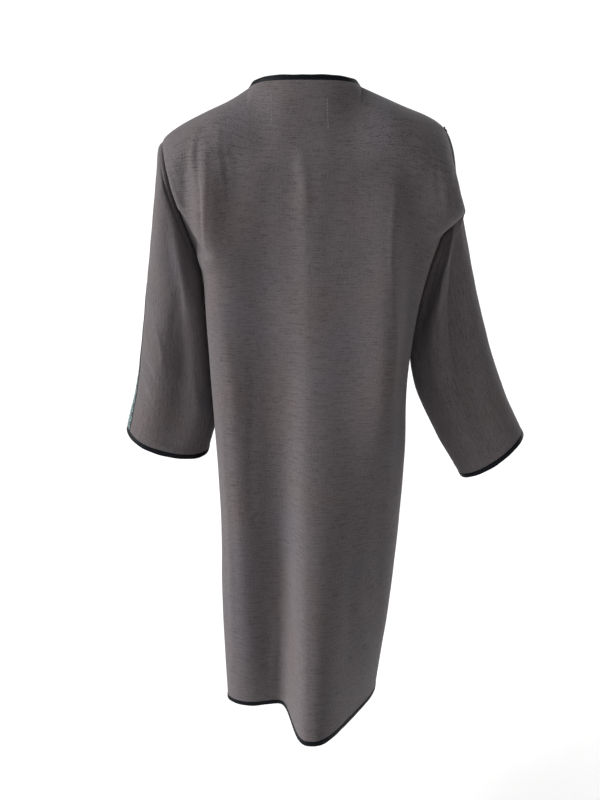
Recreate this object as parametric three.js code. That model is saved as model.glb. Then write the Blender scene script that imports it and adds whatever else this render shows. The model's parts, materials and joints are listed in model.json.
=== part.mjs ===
// An open-front abaya, worn with no wearer in it: a back, two fronts and two dropped sleeves in
// heathered suiting, every raw edge bound in black, and a patterned band down the front of each cuff.
//
// Millimetres, +Z up. The wearer faces -Y, so the wearer's left is +X. The origin is where the
// wearer's shoulders carry the garment: midway between the two neck points of the shoulder seams.
import * as THREE from "three";

// ---------------------------------------------------------------- driving sizes
const CLOTH = 1.6; // thickness of the suiting
const SEAM = 0.3; // clearance between two pieces at a seam
const HEM = { left: -1103, middle: -1100, right: -1093 }; // lower edge of the cloth, above its binding
const NECK_HALF = 92; // half the width of the neck, between the neck points
const NECK_BACK = 60; // how far the back neck lies behind the shoulder seams
const NECK_FRONT_DROP = 104; // how far the front neck drops below the neck points
const ARMHOLE = { left: 213, right: 182 }; // height of each armhole, shoulder point to underarm
const SIDES = { left: 1, right: -1 }; // the sign of X on each side

// Folded bias strips over the raw edges: how far each reaches past the edge, and how proud it stands.
// The neck's stands up from the shoulders by a share of the way.
const BINDING = { neck: 9, front: 7, hem: 7.5, cuff: 7.5, proud: 0.7, round: 1.4, stand: 0.55 };

// Band sewn on the front of each lower sleeve. Angles run round the sleeve from its outer fold,
// negative towards the front; places run along it from the armhole (0) to the cuff (1).
const BAND = {
  thick: 1.1,
  gap: 0.7,
  from: 0.5,
  left: { edgeTop: -6, edgeCuff: 17, widthTop: 62, widthCuff: 58 },
  right: { edgeTop: -22, edgeCuff: -14, widthTop: 62, widthCuff: 58 },
};

// How many points each wall is sampled at.
const STEPS = { armhole: 11, skirt: 16, neck: 7, shoulder: 13, front: 5, sleeve: 15, band: 10 };

// ---------------------------------------------------------------- shape tables
// Half-width of the body to each side seam, and how far the side seam lies behind the shoulders.
// Down to the underarm the same columns follow the armhole seam.
const SIDE = {
  left: [
    { z: -84, x: 239, y: 2 },
    { z: -131, x: 229, y: 4 },
    { z: -196, x: 211, y: 6 },
    { z: -243, x: 195, y: 8 },
    { z: -297, x: 177, y: 10 },
    { z: -370, x: 170, y: 26 },
    { z: -470, x: 164, y: 34 },
    { z: -600, x: 156, y: 34 },
    { z: -750, x: 151, y: 22 },
    { z: -920, x: 152, y: 14 },
    { z: -1103, x: 146, y: 14 },
  ],
  right: [
    { z: -62, x: 233, y: 2 },
    { z: -90, x: 242, y: 4 },
    { z: -123, x: 248, y: 6 },
    { z: -165, x: 258, y: 10 },
    { z: -200, x: 266, y: 14 },
    { z: -222, x: 250, y: 16 },
    { z: -244, x: 231, y: 18 },
    { z: -350, x: 199, y: 22 },
    { z: -480, x: 181, y: 20 },
    { z: -620, x: 179, y: 14 },
    { z: -760, x: 172, y: 4 },
    { z: -920, x: 159, y: -6 },
    { z: -1093, x: 138, y: -16 },
  ],
};

// How far the middle of the back and of the fronts lies from the shoulder plane, before any fold.
const DEPTH = [
  { z: -60, back: 96, front: -92 },
  { z: -200, back: 108, front: -112 },
  { z: -320, back: 110, front: -122 },
  { z: -450, back: 106, front: -110 },
  { z: -600, back: 116, front: -112 },
  { z: -760, back: 104, front: -116 },
  { z: -920, back: 82, front: -120 },
  { z: -1100, back: 60, front: -122 },
];

// The shoulder line: height of the seam above each distance from the middle.
const SHOULDER = [
  { x: 92, left: 2, right: 4 },
  { x: 125, left: -19, right: -11 },
  { x: 165, left: -37, right: -28 },
  { x: 205, left: -57, right: -44 },
  { x: 230, left: -74, right: -60 },
  { x: 246, left: -92, right: -82 },
];

// How the cloth turns over the shoulder: over what height, and how round (2 is a quarter circle).
const TURN = { back: { middle: 170, tip: 86 }, front: { middle: 215, tip: 90 }, sharp: 1.2, round: 2 };

// How square each face is in plan: 2 is an ellipse.
const SQUARE = { back: 2.7, front: 2.3 };

// Half the opening between the two front edges.
const FRONT_GAP = [
  { z: 0, half: 9.5 },
  { z: -100, half: 9.5 },
  { z: -200, half: 9.5 },
  { z: -450, half: 11 },
  { z: -800, half: 16 },
  { z: -1097, half: 24 },
];

// Folds in the back and fronts. Each runs from (x, z) at its top to (xEnd, zEnd), and stands out by
// rise at its top, middle and end, negative for a trough. toLeft and toRight are its half-widths.
const FOLDS = {
  back: [
    { name: "centre_ridge", z: -95, zEnd: -1112, x: -22, xEnd: -13, rise: [0, 20, 136], toLeft: 40, toRight: 80, flank: 4 },
    { name: "centre_valley", z: -110, zEnd: -1112, x: 73, xEnd: 48, rise: [-2, -30, -23], toLeft: 59, toRight: 54, flank: 2 },
    { name: "neck_ridge", z: -80, zEnd: -720, x: -4, xEnd: -9, rise: [6, 6, 0], toLeft: 20, toRight: 66, flank: 2 },
    { name: "left_blade_ridge", z: -95, zEnd: -400, x: 143, xEnd: 188, rise: [2, 22, 0], toLeft: 36, toRight: 73, flank: 2 },
    { name: "left_wing_valley", z: -92, zEnd: -350, x: 203, xEnd: 185, rise: [-4, -30, 0], toLeft: 22, toRight: 18, flank: 2 },
    { name: "left_blade_valley", z: -70, zEnd: -320, x: 112, xEnd: 139, rise: [-1, -11, 0], toLeft: 27, toRight: 32, flank: 2 },
    { name: "left_lobe", z: -200, zEnd: -1112, x: 149, xEnd: 80, rise: [0, 23, 16], toLeft: 59, toRight: 95, flank: 2 },
    { name: "right_blade_ridge", z: -110, zEnd: -800, x: -162, xEnd: -137, rise: [-2, 29, 0], toLeft: 53, toRight: 18, flank: 2 },
    { name: "right_wing_valley", z: -110, zEnd: -560, x: -170, xEnd: -188, rise: [-5, -18, 0], toLeft: 24, toRight: 46, flank: 2 },
  ],
  front: [
    { name: "left_bust_fall", z: -330, zEnd: -1112, x: 86, xEnd: 82, rise: [0, 16, 34], toLeft: 30, toRight: 24, flank: 2 },
    { name: "left_edge_valley", z: -420, zEnd: -1112, x: 44, xEnd: 46, rise: [0, -7, -14], toLeft: 18, toRight: 16, flank: 2 },
    { name: "left_armhole_break", z: -110, zEnd: -350, x: 166, xEnd: 150, rise: [-1, -14, 0], toLeft: 20, toRight: 22, flank: 2 },
    { name: "right_bust_fall", z: -330, zEnd: -1112, x: -92, xEnd: -76, rise: [0, 14, 30], toLeft: 26, toRight: 30, flank: 2 },
    { name: "right_edge_valley", z: -460, zEnd: -1112, x: -50, xEnd: -42, rise: [0, -6, -12], toLeft: 15, toRight: 17, flank: 2 },
    { name: "right_armhole_break", z: -110, zEnd: -400, x: -176, xEnd: -160, rise: [-1, -13, 0], toLeft: 22, toRight: 24, flank: 2 },
  ],
};

// Sections of each sleeve from the armhole (0) to the cuff (1): its outer and inner line in the
// plane of the shoulders, how far its middle lies behind them, and half its depth.
const SLEEVE = {
  left: [
    { at: 0, outX: 239, outZ: -84, inX: 177, inZ: -297, y: 2, half: 36 },
    { at: 0.05, outX: 246, outZ: -96, inX: 177, inZ: -306, y: 2, half: 42 },
    { at: 0.16, outX: 251, outZ: -135, inX: 174.6, inZ: -330, y: 0, half: 50 },
    { at: 0.34, outX: 262, outZ: -222, inX: 171, inZ: -378, y: -4, half: 55 },
    { at: 0.52, outX: 275, outZ: -318, inX: 167, inZ: -436, y: -12, half: 54 },
    { at: 0.7, outX: 288, outZ: -420, inX: 162, inZ: -502, y: -18, half: 54 },
    { at: 0.85, outX: 302, outZ: -508, inX: 158, inZ: -562, y: -22, half: 55 },
    { at: 1, outX: 322, outZ: -584, inX: 174, inZ: -625, y: -24, half: 56 },
  ],
  right: [
    { at: 0, outX: 233, outZ: -62, inX: 231, inZ: -244, y: 6, half: 36 },
    { at: 0.05, outX: 243, outZ: -77, inX: 225, inZ: -260, y: 5, half: 37 },
    { at: 0.16, outX: 254, outZ: -130, inX: 213, inZ: -302, y: 0, half: 40 },
    { at: 0.34, outX: 278, outZ: -234, inX: 199, inZ: -364, y: -8, half: 44 },
    { at: 0.52, outX: 303, outZ: -342, inX: 187, inZ: -432, y: -14, half: 47 },
    { at: 0.7, outX: 334, outZ: -448, inX: 198, inZ: -510, y: -18, half: 50 },
    { at: 0.86, outX: 367, outZ: -534, inX: 238, inZ: -597, y: -20, half: 52 },
    { at: 1, outX: 396, outZ: -593, inX: 284, inZ: -673, y: -20, half: 52 },
  ],
};
const CUFF_DIP = { left: 17, right: 6 }; // how much lower the back of each cuff hangs than its middle
const SLEEVE_SETTLES = 0.5; // how far down the sleeve its section forgets the armhole's outline

// Folds along the sleeves: an angle round the sleeve in degrees, from 0 at the outer fold through
// 90 at the back to 180 at the underarm, at the fold's top and end.
const SLEEVE_FOLDS = {
  left: [
    { name: "crown_roll", at: 0.02, atEnd: 0.62, turn: 66, turnEnd: 40, rise: [0, 9, 0], wide: 24 },
    { name: "under_valley", at: 0.1, atEnd: 0.98, turn: 118, turnEnd: 96, rise: [0, -14, -4], wide: 24 },
    { name: "forearm_roll", at: 0.45, atEnd: 1, turn: 70, turnEnd: 58, rise: [0, 5, 3], wide: 22 },
    { name: "front_valley", at: 0.15, atEnd: 0.95, turn: 250, turnEnd: 226, rise: [0, -8, -2], wide: 28 },
  ],
  right: [
    { name: "inner_roll", at: 0.04, atEnd: 0.9, turn: 96, turnEnd: 118, rise: [0, 10, 2], wide: 17 },
    { name: "back_valley", at: 0.05, atEnd: 0.98, turn: 64, turnEnd: 84, rise: [0, -12, -3], wide: 20 },
    { name: "under_valley", at: 0.04, atEnd: 0.7, turn: 132, turnEnd: 150, rise: [0, -13, 0], wide: 20 },
    { name: "front_valley", at: 0.12, atEnd: 0.97, turn: 238, turnEnd: 214, rise: [0, -9, -2], wide: 28 },
  ],
};

// ---------------------------------------------------------------- reading the tables
const clamp01 = (v) => Math.min(1, Math.max(0, v));

// A smooth curve through one column of a table, held level past its ends.
function read(table, key, column, at) {
  const order = Math.sign(table[table.length - 1][key] - table[0][key]);
  const last = table.length - 1;
  if ((at - table[0][key]) * order <= 0) return table[0][column];
  if ((at - table[last][key]) * order >= 0) return table[last][column];
  let i = 0;
  while ((at - table[i + 1][key]) * order > 0) i++;
  const slope = (k) => {
    const a = table[Math.max(k - 1, 0)];
    const b = table[Math.min(k + 1, last)];
    return (b[column] - a[column]) / (b[key] - a[key]);
  };
  const span = table[i + 1][key] - table[i][key];
  const t = (at - table[i][key]) / span;
  const h = t * t * (3 - 2 * t);
  return (
    table[i][column] * (1 - h) +
    table[i + 1][column] * h +
    span * t * (1 - t) * (slope(i) * (1 - t) - slope(i + 1) * t)
  );
}

// The curve through a fold's three rises, at t from 0 to 1 along it; an end of 0 dies away softly.
function riseAt([top, middle, end], t) {
  const through = top * (1 - t) * (1 - 2 * t) + 4 * middle * t * (1 - t) + end * t * (2 * t - 1);
  const start = top === 0 ? THREE.MathUtils.smoothstep(t, 0, 0.45) : 1;
  const finish = end === 0 ? THREE.MathUtils.smoothstep(1 - t, 0, 0.45) : 1;
  return through * start * finish;
}

// ---------------------------------------------------------------- the body
const shoulderTip = (side) => SIDE[side][0];
const sideX = (side, z) => read(SIDE[side], "z", "x", z);
const shoulderZ = (side, x) => (x < NECK_HALF ? neckZ(side, x) : read(SHOULDER, "x", side, x));

// The neck lies level across the back and falls towards the neck points.
const neckZ = (side, x) => 11 + (SHOULDER[0][side] - 11) * Math.pow(x / NECK_HALF, 5);
const neckRound = (x) => Math.sqrt(Math.max(0, 1 - Math.pow(x / NECK_HALF, 2)));

// The front neck is cut as a round scoop from the neck points down to the front edges.
const frontNeckZ = (side, x) =>
  shoulderZ(side, x) - NECK_FRONT_DROP * Math.pow(neckRound(Math.min(x, NECK_HALF)), 1.15);

// Where a face leaves the shoulder or neck line. Below the neck's edge the back forgets the neck's
// round outline for a soft swell.
const NAPE = { half: 75, drop: 40 };
function topY(face, side, x, z) {
  const level = 4 - 2 * clamp01((x - NECK_HALF) / 150);
  const round = neckRound(Math.min(x, NECK_HALF));
  if (face === "front") return level - 40 * round;
  const swell = Math.exp(-Math.pow(x / NAPE.half, 4));
  const below = THREE.MathUtils.smoothstep(shoulderZ(side, x) - z, 0, NAPE.drop);
  return level + (NECK_BACK - 4) * THREE.MathUtils.lerp(round, swell, below);
}

// How far a face has turned over the shoulder at this height: 0 at the seam, 1 where it hangs.
function turned(face, side, x, z) {
  const { middle, tip } = TURN[face];
  const outward = THREE.MathUtils.smoothstep(x, NECK_HALF * 0.5, NECK_HALF * 1.7);
  const height = THREE.MathUtils.lerp(middle, tip, outward);
  const round = THREE.MathUtils.lerp(TURN.sharp, TURN.round, outward);
  const q = clamp01((shoulderZ(side, x) - z) / height);
  return Math.pow(1 - Math.pow(1 - q, 2), 1 / round);
}

// Depth of the seam at the side: one line below the underarm, and the open armhole above it.
const ARMHOLE_HALF = { back: 34, front: -46 };
function sideY(face, side, z) {
  const k = clamp01((shoulderTip(side).z - z) / ARMHOLE[side]);
  const closing = k < 0.45 ? 1 : Math.pow(Math.max(0, 1 - Math.pow((k - 0.45) / 0.55, 2)), 0.7);
  return read(SIDE[side], "z", "y", z) + ARMHOLE_HALF[face] * closing;
}

const hemZ = (side, reach) => THREE.MathUtils.lerp(HEM.middle, HEM[side], reach);

function foldRise(face, x, z, reach) {
  const outward = face === "back" ? 1 : -1;
  let rise = 0;
  for (const fold of FOLDS[face]) {
    const t = (z - fold.z) / (fold.zEnd - fold.z);
    if (t <= 0 || t > 1.001) continue;
    const away = x - THREE.MathUtils.lerp(fold.x, fold.xEnd, t);
    const wide = away > 0 ? fold.toLeft : fold.toRight;
    const flank = away > 0 ? fold.flank : 2;
    rise += riseAt(fold.rise, t) * Math.exp(-Math.pow(Math.abs(away) / wide, flank));
  }
  return outward * rise * (1 - Math.pow(reach, 10));
}

// The point of a face at height z. Its column is named by the share of the shoulder at which it
// starts; below the shoulder the outer columns draw in most.
function columnX(side, share, z) {
  const tip = shoulderTip(side).x;
  return tip * share + (sideX(side, z) - tip) * share * share;
}

function bodyPoint(face, side, share, z) {
  const x = columnX(side, share, z);
  const reach = Math.min(1, x / sideX(side, z));
  const seam = sideY(face, side, z);
  const crown = Math.pow(Math.max(0, 1 - Math.pow(reach, SQUARE[face])), 1 / SQUARE[face]);
  const hang = seam + (read(DEPTH, "z", face, z) - seam) * crown;
  const start = topY(face, side, x, z);
  const turn = turned(face, side, x, z);
  const y = start + (hang - start) * turn + foldRise(face, SIDES[side] * x, z, reach) * turn;
  return new THREE.Vector3(SIDES[side] * x, y, z);
}

// Shares of a side's full height, shoulder line to hem, at which the rows of a wall lie.
function rowShares(side) {
  const armhole = ARMHOLE[side] / (shoulderTip(side).z - HEM[side]);
  const rows = [];
  for (let i = 0; i <= STEPS.armhole; i++)
    rows.push((armhole * (1 - Math.cos((Math.PI * i) / STEPS.armhole))) / 2);
  for (let i = 1; i <= STEPS.skirt; i++) rows.push(armhole + ((1 - armhole) * i) / STEPS.skirt);
  return rows;
}
const ROWS = { left: rowShares("left"), right: rowShares("right") };

// Shares of the half-width at which the columns of a wall lie, denser towards the side.
const neckShare = (side) => NECK_HALF / shoulderTip(side).x;
const roundStep = (t) => Math.sin((t * Math.PI) / 2); // even steps round a quarter circle
const neckStep = (t) => (t + roundStep(t)) / 2;
const shoulderShares = (side) =>
  Array.from({ length: STEPS.shoulder }, (_, i) => {
    const t = (i + 1) / STEPS.shoulder;
    return neckShare(side) + (1 - neckShare(side)) * THREE.MathUtils.lerp(t, roundStep(t), 0.6);
  });

function backGrid() {
  const columns = [];
  for (const side of ["right", "left"]) {
    const shares = [];
    for (let i = side === "left" ? 0 : 1; i <= STEPS.neck; i++) shares.push(neckShare(side) * neckStep(i / STEPS.neck));
    shares.push(...shoulderShares(side));
    const half = shares.map((reach) => ({ side, reach }));
    columns.push(...(side === "right" ? half.reverse() : half));
  }
  return ROWS.left.map((_, row) =>
    columns.map(({ side, reach }) => {
      const across = (1 + SIDES[side] * reach) / 2;
      const share = THREE.MathUtils.lerp(ROWS.right[row], ROWS.left[row], across);
      const top = shoulderZ(side, reach * shoulderTip(side).x);
      return bodyPoint("back", side, reach, THREE.MathUtils.lerp(top, hemZ(side, reach), share));
    }),
  );
}

function frontGrid(side) {
  const tip = shoulderTip(side).x;
  const gap = read(FRONT_GAP, "z", "half", 0) / tip;
  const inner = Array.from({ length: STEPS.front + 1 }, (_, i) =>
    THREE.MathUtils.lerp(gap, neckShare(side), neckStep(i / STEPS.front)),
  );
  return ROWS[side].map((down) =>
    [...inner, ...shoulderShares(side)].map((share) => {
      const z = THREE.MathUtils.lerp(frontNeckZ(side, share * tip), hemZ(side, share), down);
      const edge = read(FRONT_GAP, "z", "half", z) / tip;
      const across = (share - gap) / (1 - gap);
      return bodyPoint("front", side, edge + (1 - edge) * across, z);
    }),
  );
}

// ---------------------------------------------------------------- the sleeves
// The armhole's outline: down the back edge from the shoulder point, and up the front edge.
function armholeLoop(back, front, side) {
  const edge = (grid) => grid.slice(0, STEPS.armhole + 1).map((row) => row[row.length - 1]);
  const backEdge = side === "left" ? edge(back) : back.slice(0, STEPS.armhole + 1).map((row) => row[0]);
  return [...backEdge, ...edge(front).slice(1, -1).reverse()];
}

// The plain oval section of a sleeve, before its folds: the point at an angle round it.
function sleeveOval(side, at, angle) {
  const get = (column) => read(SLEEVE[side], "at", column, at);
  const cos = Math.cos(angle);
  const sin = Math.sin(angle);
  const dip = CUFF_DIP[side] * sin * at * at;
  return new THREE.Vector3(
    (SIDES[side] * (get("outX") + get("inX") + (get("outX") - get("inX")) * cos)) / 2,
    get("y") + get("half") * sin,
    (get("outZ") + get("inZ") + (get("outZ") - get("inZ")) * cos) / 2 - dip,
  );
}

function sleeveFoldRise(side, at, angle) {
  const degrees = THREE.MathUtils.radToDeg(angle);
  let rise = 0;
  for (const fold of SLEEVE_FOLDS[side]) {
    const t = (at - fold.at) / (fold.atEnd - fold.at);
    if (t <= 0 || t > 1) continue;
    const away = degrees - THREE.MathUtils.lerp(fold.turn, fold.turnEnd, t);
    rise += riseAt(fold.rise, t) * Math.exp(-Math.pow(away / fold.wide, 2));
  }
  return rise;
}

// The point of a sleeve: its section starts as the armhole's outline and settles into the oval.
function sleevePoint(side, loop, at, angle) {
  const around = ((angle / (2 * Math.PI)) * loop.length) % loop.length;
  const i = Math.floor(around);
  const outline = loop[i].clone().lerp(loop[(i + 1) % loop.length], around - i);
  outline.sub(sleeveOval(side, 0, angle));
  const oval = sleeveOval(side, at, angle);
  const middle = sleeveOval(side, at, 0).add(sleeveOval(side, at, Math.PI)).multiplyScalar(0.5);
  const outward = oval.clone().sub(middle).normalize();
  oval.addScaledVector(outline, 1 - THREE.MathUtils.smoothstep(at, 0, SLEEVE_SETTLES));
  return oval.addScaledVector(outward, sleeveFoldRise(side, at, angle));
}

function sleeveGrid(side, loop) {
  return Array.from({ length: STEPS.sleeve + 1 }, (_, row) =>
    loop.map((_, i) => sleevePoint(side, loop, row / STEPS.sleeve, (2 * Math.PI * i) / loop.length)),
  );
}

// ---------------------------------------------------------------- walls
// Outward normals of a grid; around says that its last column joins its first.
function gridNormals(grid, outwardFrom, around) {
  const columns = grid[0].length;
  return grid.map((row, i) =>
    row.map((point, j) => {
      const up = grid[Math.max(i - 1, 0)][j];
      const down = grid[Math.min(i + 1, grid.length - 1)][j];
      const before = around ? row[(j + columns - 1) % columns] : row[Math.max(j - 1, 0)];
      const after = around ? row[(j + 1) % columns] : row[Math.min(j + 1, columns - 1)];
      const normal = new THREE.Vector3().crossVectors(down.clone().sub(up), after.clone().sub(before));
      normal.normalize();
      return normal.multiplyScalar(Math.sign(normal.dot(point.clone().sub(outwardFrom(point)))) || 1);
    }),
  );
}

// Where walls share a seam they share its normals, so that their inner faces meet in a mitre.
function shareNormals(walls) {
  const key = (p) => p.toArray().map((v) => Math.round(v * 20)).join();
  const sums = new Map();
  const each = (visit) => walls.forEach((w) => w.grid.forEach((row, i) => row.forEach((p, j) => visit(w, i, j, key(p)))));
  each((w, i, j, k) => sums.set(k, (sums.get(k) ?? new THREE.Vector3()).add(w.normals[i][j])));
  each((w, i, j, k) => (w.normals[i][j] = sums.get(k).clone().normalize()));
}

// Draws each seam edge of a grid back into its own piece by half the seam's clearance, square to
// the edge and along the cloth.
function clearSeams(grid, normals, around) {
  const last = { row: grid.length - 1, column: grid[0].length - 1 };
  const moved = grid.map((row) => row.map((p) => p.clone()));
  const draw = (i, j, into, before, after) => {
    const line = after.clone().sub(before);
    const way = new THREE.Vector3().crossVectors(line, normals[i][j]).normalize();
    const step = Math.sign(way.dot(into.clone().sub(grid[i][j]))) * SEAM * 0.6;
    moved[i][j].addScaledVector(way, step);
  };
  const wrap = (j) => (around ? (j + last.column + 1) % (last.column + 1) : THREE.MathUtils.clamp(j, 0, last.column));
  for (let j = 0; j <= last.column; j++)
    for (const [i, next] of [[0, 1], [last.row, last.row - 1]])
      draw(i, j, grid[next][j], grid[i][wrap(j - 1)], grid[i][wrap(j + 1)]);
  if (around) return moved;
  for (let i = 0; i <= last.row; i++)
    for (const [j, next] of [[0, 1], [last.column, last.column - 1]])
      draw(i, j, grid[i][next], grid[Math.max(i - 1, 0)][j], grid[Math.min(i + 1, last.row)][j]);
  return moved;
}

// A closed geometry between two grids of the same size. Its edge faces are split from their higher
// outer corner, so that two pieces split the seam between them alike.
function skinBetween(outer, inner, around) {
  const rows = outer.length;
  const columns = outer[0].length;
  const positions = [...outer.flat(), ...inner.flat()].flatMap((p) => p.toArray());
  const faces = [];
  const at = (layer, i, j) => layer * rows * columns + i * columns + (j % columns);
  const quad = (a, b, c, d) => faces.push(a, b, c, a, c, d);
  const edge = (i, j, toI, toJ, flip) => {
    const [a, b, c, d] = [at(0, i, j), at(0, toI, toJ), at(1, toI, toJ), at(1, i, j)];
    const fromA = outer[i][j % columns].z >= outer[toI][toJ % columns].z;
    const split = fromA ? [a, b, c, a, c, d] : [b, c, d, b, d, a];
    faces.push(...(flip ? split.reverse() : split));
  };
  const across = around ? columns : columns - 1;
  for (let i = 0; i + 1 < rows; i++)
    for (let j = 0; j < across; j++) {
      quad(at(0, i, j), at(0, i + 1, j), at(0, i + 1, j + 1), at(0, i, j + 1));
      quad(at(1, i, j), at(1, i, j + 1), at(1, i + 1, j + 1), at(1, i + 1, j));
    }
  for (let j = 0; j < across; j++) {
    edge(0, j, 0, j + 1, false);
    edge(rows - 1, j, rows - 1, j + 1, true);
  }
  if (!around)
    for (let i = 0; i + 1 < rows; i++) {
      edge(i, 0, i + 1, 0, true);
      edge(i, columns - 1, i + 1, columns - 1, false);
    }
  return facingOut(closed(positions, faces));
}

const closed = (positions, faces) =>
  new THREE.BufferGeometry()
    .setAttribute("position", new THREE.Float32BufferAttribute(positions, 3))
    .setIndex(faces);

// Turns a closed geometry's faces outwards if its volume comes out negative.
function facingOut(geometry) {
  const position = geometry.getAttribute("position");
  const faces = [...geometry.index.array];
  const corner = (i) => new THREE.Vector3().fromBufferAttribute(position, faces[i]);
  let volume = 0;
  for (let i = 0; i < faces.length; i += 3) volume += corner(i).dot(corner(i + 1).cross(corner(i + 2)));
  if (volume < 0)
    for (let i = 0; i < faces.length; i += 3) [faces[i + 1], faces[i + 2]] = [faces[i + 2], faces[i + 1]];
  geometry.setIndex(faces);
  geometry.computeVertexNormals();
  return geometry;
}

const moveAlong = (grid, normals, distance) =>
  grid.map((row, i) => row.map((p, j) => p.clone().addScaledVector(normals[i][j], distance)));

// A wall of cloth: its grid is the outer face.
function wallGeometry({ grid, normals, around }) {
  const outer = clearSeams(grid, normals, around);
  const inner = clearSeams(moveAlong(grid, normals, -CLOTH), normals, around);
  return skinBetween(outer, inner, around);
}

// A bound edge. Its section lies past the edge, along out, and stands proud of both cloth faces.
function bindingGeometry(edge, width, around) {
  const { proud, round } = BINDING;
  const start = SEAM * 0.7;
  const section = [
    [start, proud],
    [width - round, proud],
    [width, proud - round],
    [width, round - proud - CLOTH],
    [width - round, -proud - CLOTH],
    [start, -proud - CLOTH],
  ];
  const ring = ({ point, out, normal }) =>
    section.map(([o, n]) => point.clone().addScaledVector(out, o).addScaledVector(normal, n));
  const rings = edge.map(ring);
  return around ? tubeAround(rings) : tubeAlong(rings);
}

// Closed sections joined one after the other, with a cap at each end.
function tubeAlong(rings) {
  const size = rings[0].length;
  const positions = rings.flat().flatMap((p) => p.toArray());
  const faces = [];
  for (let i = 0; i + 1 < rings.length; i++)
    for (let k = 0; k < size; k++) {
      const [a, b] = [i * size + k, i * size + ((k + 1) % size)];
      faces.push(a, b, b + size, a, b + size, a + size);
    }
  for (let k = 1; k + 1 < size; k++) {
    faces.push(0, k + 1, k);
    const last = (rings.length - 1) * size;
    faces.push(last, last + k, last + k + 1);
  }
  return facingOut(closed(positions, faces));
}

// The same with the last section joined to the first.
function tubeAround(rings) {
  const size = rings[0].length;
  const count = rings.length;
  const positions = rings.flat().flatMap((p) => p.toArray());
  const faces = [];
  for (let i = 0; i < count; i++)
    for (let k = 0; k < size; k++) {
      const [a, b] = [i * size + k, i * size + ((k + 1) % size)];
      const [c, d] = [((i + 1) % count) * size + ((k + 1) % size), ((i + 1) % count) * size + k];
      faces.push(a, b, c, a, c, d);
    }
  return facingOut(closed(positions, faces));
}

// The points of a wall's edge with their normals and the way out of the piece.
function edgeOf(wall, cells) {
  return cells.map(([i, j, toI, toJ]) => ({
    point: wall.grid[i][j].clone(),
    normal: wall.normals[i][j].clone(),
    out: wall.grid[i][j].clone().sub(wall.grid[toI][toJ]).normalize(),
  }));
}

// Lengthens an open edge along its own line by a length at each end, or shortens it.
function lengthened(edge, atStart, atEnd) {
  const push = (end, next, by) => ({
    ...end,
    point: end.point.clone().addScaledVector(end.point.clone().sub(next.point).normalize(), by),
  });
  const last = edge.length - 1;
  const first = push(edge[0], edge[1], atStart);
  const final = push(edge[last], edge[last - 1], atEnd);
  const kept = edge.slice(atStart < 0 ? 1 : 0, atEnd < 0 ? last : last + 1);
  return [first, ...kept, final];
}

// Makes each station's way out square to the edge line and to the cloth, then turns it upwards by
// the share stand, which fades from the shoulders to the front.
function squared(edge, around, stand = 0) {
  const count = edge.length;
  const sameWay = (v, guide) => v.normalize().multiplyScalar(Math.sign(v.dot(guide)) || 1);
  return edge.map((station, i) => {
    const before = edge[around ? (i + count - 1) % count : Math.max(i - 1, 0)].point;
    const after = edge[around ? (i + 1) % count : Math.min(i + 1, count - 1)].point;
    const line = after.clone().sub(before).normalize();
    const out = sameWay(new THREE.Vector3().crossVectors(line, station.normal), station.out);
    out.lerp(new THREE.Vector3(0, 0, 1), stand * THREE.MathUtils.smoothstep(station.point.y, -60, 10));
    out.addScaledVector(line, -out.dot(line)).normalize();
    const normal = sameWay(new THREE.Vector3().crossVectors(out, line), station.normal);
    return { ...station, out, normal };
  });
}

// ---------------------------------------------------------------- colours and the assembly
const MATERIALS = {
  suiting: new THREE.MeshStandardMaterial({ color: 0x5c5658, roughness: 0.92, metalness: 0 }),
  binding: new THREE.MeshStandardMaterial({ color: 0x15171b, roughness: 0.5, metalness: 0 }),
  band: new THREE.MeshStandardMaterial({ color: 0x1b2228, roughness: 0.6, metalness: 0 }),
};

const abaya = new THREE.Group();
abaya.name = "abaya";

function addPiece(name, geometry, material) {
  const mesh = new THREE.Mesh(geometry, material);
  mesh.name = name;
  abaya.add(mesh);
}

const bodyAxis = (p) => new THREE.Vector3(p.x * 0.55, 0, Math.min(p.z - 12, -120));
const sleeveAxis = (side) => (p) => {
  const share = clamp01((p.z - SLEEVE[side][0].outZ) / (-640 - SLEEVE[side][0].outZ));
  return sleeveOval(side, share, 0).add(sleeveOval(side, share, Math.PI)).multiplyScalar(0.5);
};

const back = backGrid();
const walls = { back: { grid: back, normals: gridNormals(back, bodyAxis, false), around: false } };
for (const side of Object.keys(SIDES)) {
  const front = frontGrid(side);
  walls[`front_${side}`] = { grid: front, normals: gridNormals(front, bodyAxis, false), around: false };
  const loop = armholeLoop(back, front, side);
  const sleeve = sleeveGrid(side, loop);
  walls[`sleeve_${side}`] = { grid: sleeve, normals: gridNormals(sleeve, sleeveAxis(side), true), around: true, loop };
}
shareNormals(Object.values(walls));
for (const [name, wall] of Object.entries(walls)) addPiece(name, wallGeometry(wall), MATERIALS.suiting);

// Bindings: the neck from front edge to front edge, the two front edges, the hem and the cuffs.
function topEdge(wall, columns) {
  return edgeOf(wall, columns.map((j) => [0, j, 1, j]));
}
const lastRow = ROWS.left.length - 1;
const frontNeckColumns = Array.from({ length: STEPS.front + 1 }, (_, j) => j);
const backNeckColumns = Array.from({ length: 2 * STEPS.neck + 1 }, (_, j) => STEPS.shoulder + j);
const neckEdge = [
  ...topEdge(walls.front_right, frontNeckColumns),
  ...topEdge(walls.back, backNeckColumns).slice(1, -1),
  ...topEdge(walls.front_left, frontNeckColumns).reverse(),
];
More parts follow.
